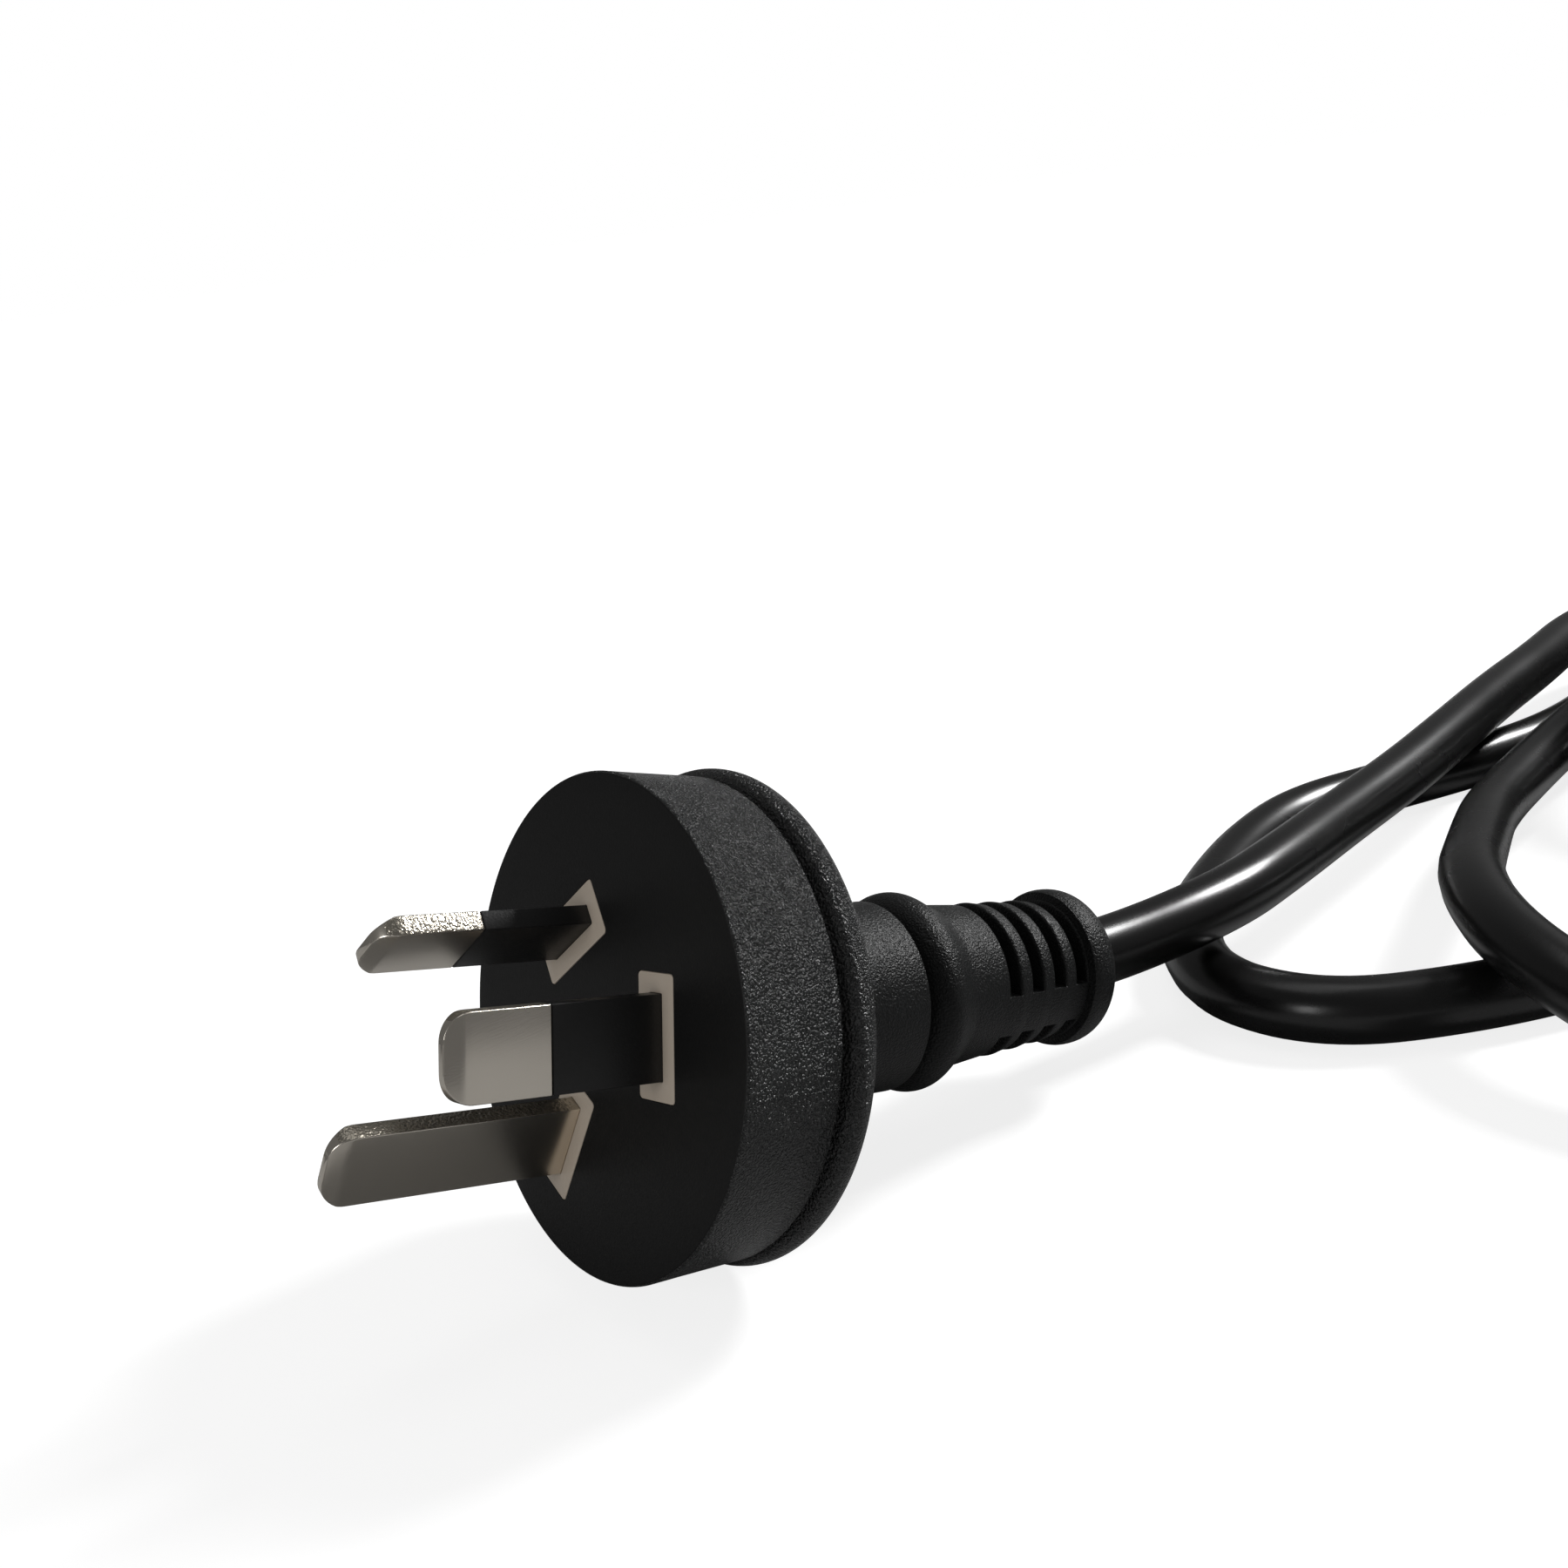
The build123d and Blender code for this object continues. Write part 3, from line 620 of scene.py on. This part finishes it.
    def build(self) -> bpy.types.Object:
        """Skin the moulding and dress it.

        Returns:
            The finished moulding.
        """
        rings: list[Ring] = []
        angles = self.angles()
        for s, spine, open_radius in self.stations():
            point, along = self.centre(s)
            up = Vector((-along.z, 0, along.x))
            ring = []
            for angle in angles:
                a = math.radians(angle - self.pose.relief_roll)
                radius = spine + (open_radius - spine) * self.spine_factor(angle)
                radius += self.seam(angle, s)
                ring.append(point + radius * (up * math.sin(a) - Vector((0, 1, 0)) * math.cos(a)))
            rings.append(ring)
        body = loft("plug_moulding", rings)
        for finish in (FACE_BLACK, GRAINED_BLACK, SMOOTH_BLACK):
            body.data.materials.append(finish.material())
        rows = self.stations()
        for number, polygon in enumerate(body.data.polygons):
            polygon.material_index = self.zone(rows[min(number // len(angles), len(rows) - 1)])
        set_frame(body, self.pose.axis_frame())
        return body

    def zone(self, row: tuple[float, float, float]) -> int:
        """Number of the finish at one ring: 0 on the face, 1 on the wall and bead, 2 behind."""
        distance, radius, _ = row
        if distance < 0.2 and radius < self.face_radius - self.face_edge * 0.7:
            return 0
        return 1 if distance < self.disc_end and radius > self.disc_back else 2


@dataclass
class PinSeat:
    """Place of one pin on the face: its distance and angle, and which way its width lies."""

    name: str
    radius: float
    angle: float
    length: float
    width_along_radius: bool = False
    insulated: bool = True

    def frame(self, pose: PlugPose) -> Matrix:
        """Frame of this pin: x along the plug, y across the pin and z through it, in mm."""
        a = math.radians(self.angle)
        radial = Vector((0, -math.cos(a), math.sin(a)))
        across = Vector((0, -math.sin(a), -math.cos(a)))
        y, z = (radial, -across) if self.width_along_radius else (across, radial)
        if Vector((1, 0, 0)).dot(y.cross(z)) < 0:
            y = -y
        turn = Matrix(((1, y.x, z.x, 0), (0, y.y, z.y, 0), (0, y.z, z.z, 0), (0, 0, 0, 1)))
        return pose.rolled_frame() @ Matrix.Translation(radial * self.radius) @ turn


PIN_SEATS = (
    PinSeat("active", 7.92, 30.0, 17.06),
    PinSeat("neutral", 7.92, 150.0, 17.06),
    PinSeat("earth", 10.31, 270.0, 19.94, width_along_radius=True, insulated=False),
)


@dataclass
class Pin:
    """One flat pin: a nickel blade with a rounded, bevelled tip."""

    seat: PinSeat
    pose: PlugPose
    width: float = 6.35
    thickness: float = 1.6
    edge: float = 0.13
    tip_corner: float = 2.0
    tip_bevel: float = 1.3
    tip_thickness: float = 0.75
    tip_steps: int = 12
    tip_round: tuple[float, float, float] = (0.04, 0.93, 0.8)
    waist: float = 0.3
    sleeve_start: float = -9.0
    sleeve_end: float = 3.0
    root: float = 8.0
    edge_slope: float = 0.75

    def section(self, x: float, half_width: float, half_depth: float) -> Ring:
        """One cross-section of the blade at this place along the pin."""
        edge = min(self.edge, half_width * 0.45, half_depth * 0.6)
        outline = rounded_box_ring(2 * half_width, 2 * half_depth, edge)
        return [Vector((x, y, z)) for y, z in outline]

    def blade_rings(self) -> list[Ring]:
        """Sections from the tip to the root, with the waist under the insulation."""
        length, half, deep = self.seat.length, self.width / 2, self.thickness / 2
        tip_half = self.tip_thickness / 2
        rings = []
        for i in range(self.tip_steps + 1):
            a = i / self.tip_steps * TAU / 4
            from_tip = self.tip_corner * (1 - math.cos(a))
            wide = half - self.tip_corner + self.tip_corner * math.sin(a)
            share = min(from_tip / self.tip_bevel, 1.0)
            thin = tip_half + (deep - tip_half) * share
            rings.append(self.section(-length + from_tip, wide, thin))
        forward, narrower, thinner = self.tip_round
        tip = [Vector((p.x - forward, p.y * narrower, p.z * thinner)) for p in rings[0]]
        rings.insert(0, tip)
        at_bevel = -length + self.tip_bevel
        rings = [ring for ring in rings if abs(ring[0].x - at_bevel) > 0.12]
        corner_side = math.sqrt(self.tip_corner**2 - (self.tip_corner - self.tip_bevel) ** 2)
        rings.append(self.section(at_bevel, half - self.tip_corner + corner_side, deep))
        rings.sort(key=lambda ring: ring[0].x)
        if self.seat.insulated:
            rings += self.waist_rings(half, deep)
        rings.append(self.section(self.root, half, deep))
        return rings

    def waist_rings(self, half: float, deep: float) -> list[Ring]:
        """Sections of the thinner stretch that the insulation fills.

        Args:
            half: Half of the blade's width, in mm.
            deep: Half of its thickness, in mm.

        Returns:
            The sections, from the insulation's front end to its back end.
        """
        start, end = self.sleeve_start, self.sleeve_end
        rings = [self.section(start - 0.1, half, deep)]
        rings.append(self.section(start - 0.03, half - 0.04, deep - 0.04))
        rings.append(self.section(start, half - 0.12, deep - 0.12))
        rings.append(self.section(start + 0.01, half - self.waist, deep - self.waist))
        rings.append(self.section(end, half - self.waist, deep - self.waist))
        rings.append(self.section(end + 0.01, half, deep))
        return rings

    def build(self) -> bpy.types.Object:
        """Skin the blade and dress it as nickel, brighter on its faces than on its sheared edges.

        Returns:
            The finished pin.
        """
        blade = loft(f"{self.seat.name}_blade", self.blade_rings())
        for finish in (NICKEL, NICKEL_EDGE):
            blade.data.materials.append(finish.material())
        for polygon in blade.data.polygons:
            polygon.material_index = int(abs(polygon.normal.y) > self.edge_slope)
        shade(blade, 28)
        set_frame(blade, self.seat.frame(self.pose))
        return finish_piece(blade, NICKEL, f"{self.seat.name}_pin")


@dataclass
class PinSleeve:
    """Moulded insulation round the root half of a line pin, flush with its blade."""

    seat: PinSeat
    pose: PlugPose
    width: float = 6.35
    thickness: float = 1.6
    wall: float = 0.3
    start: float = -8.97
    end: float = 3.0

    def build(self) -> bpy.types.Object:
        """Skin the sleeve as a thin closed tube and dress it.

        Returns:
            The finished sleeve.
        """
        inner = (self.width - 2 * self.wall, self.thickness - 2 * self.wall)
        plan = [
            (self.end, self.width, self.thickness, 0.12),
            (self.start + 0.12, self.width, self.thickness, 0.12),
            (self.start + 0.03, self.width - 0.06, self.thickness - 0.06, 0.1),
            (self.start, self.width - 0.2, self.thickness - 0.2, 0.08),
            (self.start, *inner, 0.06),
            (self.end, *inner, 0.06),
        ]
        sleeve = loft(f"{self.seat.name}_insulation_sleeve", box_rings(plan), closed_loop=True)
        shade(sleeve, 40)
        set_frame(sleeve, self.seat.frame(self.pose))
        return finish_piece(sleeve, PIN_BLACK, f"{self.seat.name}_pin_sleeve")


@dataclass
class PinCarrier:
    """White insert that holds the pins: three collars in the face and a disc behind them."""

    pose: PlugPose
    hole_width: float = 6.35
    hole_height: float = 1.6
    wall: float = 1.5
    depth: float = 3.0
    proud: float = 0.04
    corner: float = 0.35
    clearance: float = 0.03
    disc_radius: float = 15.2
    disc_chamfer: float = 0.4
    disc_end: float = 5.5
    disc_points: int = 64

    def collar_rings(self) -> list[Ring]:
        """Closed loop of sections of one collar, from its root out and back in the hole."""
        wide, high = self.hole_width + 2 * self.wall, self.hole_height + 2 * self.wall
        front = -self.proud
        plan = [
            (self.depth, wide, high, self.corner),
            (front + 0.12, wide, high, self.corner),
            (front + 0.03, wide - 0.08, high - 0.08, self.corner),
            (front, wide - 0.26, high - 0.26, self.corner),
            (front, self.hole_width + 0.2, self.hole_height + 0.2, 0.16),
            (front + 0.03, self.hole_width + 0.08, self.hole_height + 0.08, 0.14),
            (front + 0.12, self.hole_width + 0.02, self.hole_height + 0.02, 0.13),
            (self.depth, self.hole_width + 0.02, self.hole_height + 0.02, 0.13),
        ]
        return box_rings(plan)

    def cutter(self, seat: PinSeat) -> bpy.types.Object:
        """Solid that opens the moulding for one collar."""
        grow = 2 * (self.wall + self.clearance)
        wide, high = self.hole_width + grow, self.hole_height + grow
        outline = rounded_box_ring(wide, high, self.corner + self.clearance)
        rings = [[Vector((x, y, z)) for y, z in outline] for x in (-1.0, self.depth)]
        block = loft(f"cutter_{seat.name}", rings)
        set_frame(block, seat.frame(self.pose))
        return block

    def build(self) -> bpy.types.Object:
        """Join the three collars and the disc into one piece and dress it.

        Returns:
            The finished carrier.
        """
        parts = []
        for seat in PIN_SEATS:
            collar = loft("collar", self.collar_rings(), closed_loop=True)
            set_frame(collar, seat.frame(self.pose))
            parts.append(collar)
        rings = []
        front = self.disc_radius - self.disc_chamfer
        for x, r in (
            (self.depth + 0.01, front),
            (self.depth + 0.3, self.disc_radius),
            (self.disc_end, self.disc_radius),
        ):
            angles = circle_angles(self.disc_points)
            rings.append([Vector((x, r * math.cos(a), r * math.sin(a))) for a in angles])
        disc = loft("pin_insert", rings)
        set_frame(disc, self.pose.rolled_frame())
        carrier = join("pin_insert", [disc, *parts])
        shade(carrier, 40)
        return finish_piece(carrier, WARM_WHITE, "pin_carrier")


def circle_angles(count: int) -> list[float]:
    """Evenly spaced angles round a circle, in radians."""
    return [i / count * TAU for i in range(count)]


def join(name: str, objects: list[bpy.types.Object]) -> bpy.types.Object:
    """Join several objects into one whose mesh is already in place.

    Args:
        name: The joined object's name.
        objects: The objects; they are deleted.

    Returns:
        The joined object, with its own place at the origin.
    """
    points: Ring = []
    faces: list[tuple[int, ...]] = []
    for obj in objects:
        start = len(points)
        points += [v.co / MM for v in obj.data.vertices]
        faces += [tuple(start + i for i in p.vertices) for p in obj.data.polygons]
    for obj in objects:
        bpy.data.objects.remove(obj)
    return new_mesh(name, points, faces)


OVER = 9.9
FLOOR = 3.1

PLUG_LEAD: tuple[Point, ...] = (
    (53.1, -1.6, OVER),
    (65.5, 1.1, OVER),
    (79.8, 5.3, 9.4),
    (94.2, 8.6, 9.45),
    (108.5, 12.3, OVER),
    (124.5, 17.2, OVER),
    (140.8, 21.7, 9.6),
    (156.6, 26.8, 9.45),
    (171.4, 27.9, 9.4),
    (184.3, 22.3, 9.35),
)

LOWER_LOOP: tuple[Point, ...] = (
    (155.2, -51.5, FLOOR),
    (137.2, -49.8, FLOOR),
    (119.2, -45.7, FLOOR),
    (102.1, -40.0, FLOOR),
    (87.1, -34.9, FLOOR),
    (73.0, -28.9, FLOOR),
    (61.0, -23.8, FLOOR),
    (50.4, -16.0, FLOOR),
    (48.6, -4.2, FLOOR),
    (56.5, 7.1, FLOOR),
    (69.0, 14.3, FLOOR),
    (82.0, 20.0, FLOOR),
    (93.7, 22.4, FLOOR),
    (105.3, 19.6, FLOOR),
    (117.3, 16.5, FLOOR),
    (130.3, 14.4, FLOOR),
    (144.2, 16.0, FLOOR),
    (158.2, 21.6, FLOOR),
)

UPPER_LOOP: tuple[Point, ...] = (
    (155.3, -58.4, FLOOR),
    (136.4, -64.0, FLOOR),
    (116.6, -72.4, FLOOR),
    (96.8, -77.0, FLOOR),
    (76.8, -76.0, FLOOR),
    (60.7, -64.2, 3.6),
    (55.2, -45.9, 6.6),
    (58.7, -29.1, OVER),
    (69.8, -16.7, OVER),
    (84.0, -8.0, 7.6),
    (96.5, -0.8, 6.2),
    (109.8, 3.5, 6.0),
    (122.8, 7.0, 6.2),
    (135.9, 9.0, 7.4),
    (149.0, 11.8, 9.0),
    (161.1, 15.2, 9.35),
)

CONNECTOR_LEAD: tuple[Point, ...] = (
    (157.6, -52.8, 15.7),
    (141.6, -52.4, 15.7),
    (130.9, -48.0, 15.7),
    (122.7, -39.7, 15.7),
    (118.2, -29.0, 15.9),
    (118.2, -17.4, 16.9),
    (122.7, -6.7, 18.8),
    (130.9, 1.5, 20.7),
    (141.4, 6.0, 21.7),
    (159.6, 6.0, 21.7),
)


@dataclass
class CoilRun:
    """One stretch of a turn, from one place in the bundle to another, clockwise from above."""

    start_angle: float
    end_angle: float
    start: tuple[float, float]
    end: tuple[float, float]
    radius_from: float = 0.0
    radius_to: float = 1.0
    height_from: float = 0.0
    height_to: float = 1.0


@dataclass
class Cord:
    """The whole cord: from the plug through both loops and the coil to the connector."""

    pose: PlugPose
    moulding: PlugMoulding
    diameter: float = 6.2
    coil_x: float = 171.2
    coil_y: float = -17.0
    pitch: float = 6.3
    middle: float = 34.0
    points_per_turn: int = 16
    tie_lift: float = 0.7
    groove: tuple[float, float] = (30.1, 8.7)
    nested_radius: float = 26.6
    top_height: float = 15.6
    lead_inside: tuple[float, float] = (44.0, 51.0)
    steps: int = 10
    round_steps: int = 8

    def place(self, column: int, layer: int) -> tuple[float, float]:
        """Radius and height of one place in the bundle; column 0 is the innermost."""
        return self.middle + (column - 1) * self.pitch, self.diameter / 2 + layer * self.pitch

    def turn(self, run: CoilRun) -> list[Vector]:
        """Route points of one stretch of the coil.

        Args:
            run: The stretch.

        Returns:
            Its route points, without the one at its start.
        """
        sweep = run.end_angle - run.start_angle
        count = max(2, round(abs(sweep) / 360 * self.points_per_turn))
        outside = 1 / math.cos(math.radians(abs(sweep) / count / 2))
        points = []
        for i in range(1, count + 1):
            t = i / count
            across = smoothstep((t - run.radius_from) / (run.radius_to - run.radius_from))
            up = smoothstep((t - run.height_from) / (run.height_to - run.height_from))
            radius = run.start[0] + (run.end[0] - run.start[0]) * across
            height = run.start[1] + (run.end[1] - run.start[1]) * up
            angle = run.start_angle + sweep * t
            a = math.radians(angle)
            height += self.tie_lift * max(math.cos(a), 0.0) ** 3
            x = self.coil_x + radius * outside * math.cos(a)
            y = self.coil_y + radius * outside * math.sin(a)
            points.append(Vector((x, y, height)))
        return points

    def route(self) -> list[Vector]:
        """Route of the whole cord, from inside the plug's relief to inside the connector."""
        frame = self.pose.axis_frame()
        inside = [frame @ self.moulding.centre(s)[0] for s in self.lead_inside]
        outer_up, middle_up, inner_up = (self.place(c, 1) for c in (2, 1, 0))
        outer_low, middle_low, inner_low = (self.place(c, 0) for c in (2, 1, 0))
        groove, nested = self.groove, (self.nested_radius, self.diameter / 2)
        top = (middle_up[0] + 0.4, self.top_height)
        route = inside + [Vector(p) for p in PLUG_LEAD]
        route += self.turn(CoilRun(72, -90, outer_up, outer_up))
        route += self.turn(CoilRun(-90, -180, outer_up, groove, 0.15, 1.0, 0.5, 1.0))
        route += self.turn(CoilRun(-180, -270, groove, inner_up))
        route += self.turn(CoilRun(90, -90, inner_up, inner_up))
        route += self.turn(CoilRun(-90, -180, inner_up, nested, 0.3, 1.0, 0.35, 0.95))
        route += self.turn(CoilRun(-180, -270, nested, inner_low))
        route += self.turn(CoilRun(90, -90, inner_low, inner_low))
        route += self.turn(CoilRun(-90, -180, inner_low, middle_low, 0.0, 0.5))
        route += self.turn(CoilRun(-180, -270, middle_low, middle_low))
        route += self.turn(CoilRun(90, -90, middle_low, middle_low))
        route += [Vector(p) for p in LOWER_LOOP]
        route += self.turn(CoilRun(112, -90, outer_low, outer_low))
        route += [Vector(p) for p in UPPER_LOOP]
        route += self.turn(CoilRun(112, -90, middle_up, top, 0.6, 1.0, 0.72, 1.0))
        route += [Vector(p) for p in CONNECTOR_LEAD]
        return route

    def build(self, far_end: list[bpy.types.Object]) -> bpy.types.Object:
        """Args:
            far_end: The pieces that hang on the cord, such as its connector and tie. Not used.

        Returns:
            The finished cord.
        """
        route = self.route()
        curve = bpy.data.curves.new("power_lead", "CURVE")
        curve.dimensions = "3D"
        line = curve.splines.new("NURBS")
        line.points.add(len(route) - 1)
        for point, place in zip(line.points, route):
            point.co = (*(place * MM), 1.0)
        line.order_u = 3
        line.use_endpoint_u = True
        line.resolution_u = self.steps
        curve.bevel_depth = self.diameter / 2 * MM
        curve.bevel_resolution = self.round_steps
        curve.use_fill_caps = True
        cord = bpy.data.objects.new("power_lead", curve)
        bpy.context.scene.collection.objects.link(cord)
        solids = ("cord_plug_lead", "cord_lower_loop", "cord_upper_loop")
        finish_piece(cord, JACKET, *solids, "cord_connector_lead", "cord_coil")
        leave = self.pose.axis_frame() @ self.moulding.centre(self.moulding.length)[0]
        return cord


@dataclass
class CoilTie:
    """Soft strap round the bundle at the coil's far side."""

    cord: Cord
    width: float = 9.0
    thickness: float = 0.8
    columns: int = 3
    layers: int = 2
    soft: float = 0.2
    inside: float = 0.05
    corner: float = 2.9
    corner_steps: int = 9

    def build(self) -> bpy.types.Object:
        """Wrap the strap round the bundle and dress it.

        Returns:
            The finished strap.
        """
        across = self.columns * self.cord.pitch
        up = self.layers * self.cord.pitch
        radius = self.cord.middle
        rings: list[Ring] = []
        half, full = self.width / 2, self.thickness
        front = [(-half, self.inside), (-half, full - self.soft), (-half + self.soft, full)]
        plan = front + [(-y, grow) for y, grow in reversed(front)]
        middle_z = up / 2 + self.cord.tie_lift
        for y, grow in plan:
            wide, high = across + 2 * grow, up + 2 * grow
            outline = rounded_box_ring(wide, high, self.corner + grow, self.corner_steps)
            ring = []
            for across_x, height in outline:
                z = max(middle_z + height, 0.02)
                x = self.cord.coil_x + radius + across_x
                ring.append(Vector((x, self.cord.coil_y + y, z)))
            rings.append(ring)
        strap = loft("coil_strap", rings, closed_loop=True)
        shade(strap, 45)
        return finish_piece(strap, TIE_BLACK, "coil_tie")


@dataclass
class CarriedNodes:
    """CAD pieces that keep their own shape and only get a finish."""

    frame: dict[str, Any]

    def finish_for(self, node: str) -> Finish:
        """Finish of one carried node, by its name."""
        rules: tuple[tuple[str, Finish], ...] = (
            ("active_core", BROWN),
            ("connector_line_insulation", BROWN),
            ("neutral_core", BLUE),
            ("connector_return_insulation", BLUE),
            ("insulation", GREEN_YELLOW),
            ("conductor", COPPER),
            ("contact", BRASS),
            ("connector_insert", INSERT_BLACK),
            ("connector_body", SMOOTH_BLACK),
        )
        for word, finish in rules:
            if word in node:
                return finish
        return SMOOTH_BLACK

    def dress(self) -> None:
        """Give every node that is still shown its finish."""
        for name, obj in self.frame["nodes"].items():
            if obj.hide_render:
                continue
            finish = self.finish_for(name)
            obj.data.materials.clear()
            obj.data.materials.append(finish.material())
            LOG.info("dressed %s in %s", name, finish.name)


@dataclass(frozen=True)
class SoftLamp:
    """One rectangular soft lamp: its place, aim and size in mm, and its power in watts."""

    name: str
    place: Point
    aim: Point
    size: tuple[float, float]
    power: float

    def build(self) -> None:
        """Hang the lamp at its place, turned toward its aim."""
        data = bpy.data.lights.new(self.name, "AREA")
        data.shape = "RECTANGLE"
        data.size, data.size_y = self.size[0] * MM, self.size[1] * MM
        data.energy = self.power
        lamp = bpy.data.objects.new(self.name, data)
        lamp.location = Vector(self.place) * MM
        back = Vector(self.place) - Vector(self.aim)
        lamp.rotation_euler = back.to_track_quat("Z", "Y").to_euler()
        bpy.context.scene.collection.objects.link(lamp)


LAMPS = (
    SoftLamp("key_softbox", (560, -80, 480), (30, 0, 15), (180, 180), 5.0),
    SoftLamp("top_softbox", (80, 140, 620), (60, 0, 0), (420, 260), 0.3),
    SoftLamp("front_fill", (-420, -60, 160), (-20, 0, 20), (160, 160), 0.42),
)


@dataclass
class Studio:
    """White floor, soft lamps and the camera of the photograph.

    Attributes:
        camera_place: Place of the camera, in mm.
        camera_aim: Direction in which it looks.
        camera_roll: Its turn about that direction, in degrees.
        lens: Its focal length, in mm.
        sensor: Its sensor's width, in mm.
        floor_half: Half of the floor's width, in metres.
        floor_grey: The floor's own lightness.
        near_glow: Distance in metres up to which the floor shows its shadow, and its glow there.
        far_glow: Distance in metres from which the floor is plain white, and its glow there.
        room_light: Strength of the room's even light.
    """

    camera_place: Point = (-76.391, -119.58, 77.94)
    camera_aim: Point = (0.5426, 0.7908, -0.2834)
    camera_roll: float = -7.79
    lens: float = 44.0
    sensor: float = 36.0
    floor_half: float = 60.0
    floor_grey: float = 0.38
    near_glow: tuple[float, float] = (0.22, 0.82)
    far_glow: tuple[float, float] = (0.70, 1.0)
    room_light: float = 0.12

    def floor(self) -> None:
        """Lay the pale floor: white to the camera far out, and with its shadow near the cord."""
        far = self.floor_half
        corners = [(-far, -far, 0), (far, -far, 0), (far, far, 0), (-far, far, 0)]
        mesh = bpy.data.meshes.new("studio_floor")
        mesh.from_pydata(corners, [], [(0, 1, 2, 3)])
        floor = bpy.data.objects.new("studio_floor", mesh)
        bpy.context.scene.collection.objects.link(floor)
        mat = bpy.data.materials.new("white_paper")
        mat.use_nodes = True
        nodes, links = mat.node_tree.nodes, mat.node_tree.links
        nodes.clear()
        out = nodes.new("ShaderNodeOutputMaterial")
        plain = nodes.new("ShaderNodeBsdfDiffuse")
        plain.inputs["Color"].default_value = (*[self.floor_grey] * 3, 1)
        glow = nodes.new("ShaderNodeEmission")
        rays = nodes.new("ShaderNodeLightPath")
        share = nodes.new("ShaderNodeMath")
        share.operation = "MULTIPLY"
        place = nodes.new("ShaderNodeTexCoord")
        reach = nodes.new("ShaderNodeVectorMath")
        reach.operation = "LENGTH"
        fade = nodes.new("ShaderNodeMapRange")
        fade.inputs["From Min"].default_value, fade.inputs["To Min"].default_value = self.near_glow
        fade.inputs["From Max"].default_value, fade.inputs["To Max"].default_value = self.far_glow
        both = nodes.new("ShaderNodeAddShader")
        links.new(place.outputs["Object"], reach.inputs[0])
        links.new(reach.outputs["Value"], fade.inputs["Value"])
        links.new(fade.outputs["Result"], share.inputs[1])
        links.new(rays.outputs["Is Camera Ray"], share.inputs[0])
        links.new(share.outputs["Value"], glow.inputs["Strength"])
        links.new(plain.outputs["BSDF"], both.inputs[0])
        links.new(glow.outputs["Emission"], both.inputs[1])
        links.new(both.outputs["Shader"], out.inputs["Surface"])
        mesh.materials.append(mat)
        floor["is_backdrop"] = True

    def world(self) -> None:
        """Fill the room with a soft even light, white where the camera sees it."""
        world = bpy.data.worlds.new("studio_world")
        bpy.context.scene.world = world
        world.use_nodes = True
        nodes, links = world.node_tree.nodes, world.node_tree.links
        back = nodes["Background"]
        back.inputs["Color"].default_value = (1, 1, 1, 1)
        rays = nodes.new("ShaderNodeLightPath")
        level = nodes.new("ShaderNodeMapRange")
        level.inputs["To Min"].default_value = self.room_light
        level.inputs["To Max"].default_value = 1.0
        links.new(rays.outputs["Is Camera Ray"], level.inputs["Value"])
        links.new(level.outputs["Result"], back.inputs["Strength"])

    def camera(self) -> None:
        """Stand the camera where the photograph was taken from."""
        data = bpy.data.cameras.new("camera")
        data.sensor_width = self.sensor
        data.lens = self.lens
        data.clip_start = 0.01
        camera = bpy.data.objects.new("camera", data)
        aim = Vector(self.camera_aim).normalized()
        side = aim.cross(Vector((0, 0, 1))).normalized()
        up = side.cross(aim)
        roll = math.radians(self.camera_roll)
        right = side * math.cos(roll) + up * math.sin(roll)
        top = up * math.cos(roll) - side * math.sin(roll)
        turn = Matrix((right, top, -aim)).transposed().to_4x4()
        camera.matrix_world = Matrix.Translation(Vector(self.camera_place) * MM) @ turn
        bpy.context.scene.collection.objects.link(camera)
        bpy.context.scene.camera = camera

    def build(self) -> None:
        """Build the whole studio."""
        bpy.context.scene.view_settings.view_transform = "Standard"
        self.floor()
        self.world()
        self.camera()
        for lamp in LAMPS:
            lamp.build()


def plain(corner: Vector) -> list[float]:
    """A corner as plain numbers."""
    return [float(x) for x in corner]


def main(frame: dict[str, Any], cad_box: tuple[Vector, Vector]) -> None:
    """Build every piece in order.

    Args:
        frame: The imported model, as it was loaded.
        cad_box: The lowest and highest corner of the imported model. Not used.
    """
    logging.basicConfig(level=logging.INFO, format="%(message)s")
    pose = PlugPose()
    moulding = PlugMoulding(pose)
    carrier = PinCarrier(pose)
    body = moulding.build()
    cut(body, [carrier.cutter(seat) for seat in PIN_SEATS])
    shade(body, 34)
    finish_piece(body, GRAINED_BLACK, "plug_body")
    carrier.build()
    for seat in PIN_SEATS:
        Pin(seat, pose).build()
        if seat.insulated:
            PinSleeve(seat, pose).build()
    cord = Cord(pose, moulding)
    strap = CoilTie(cord).build()
    connector = [obj for name, obj in frame["nodes"].items() if name.startswith("connector_")]
    cord.build([strap, *connector])
    CarriedNodes(frame).dress()
    Studio().build()


if __name__ == "__main__":
    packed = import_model()
    main(packed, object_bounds())
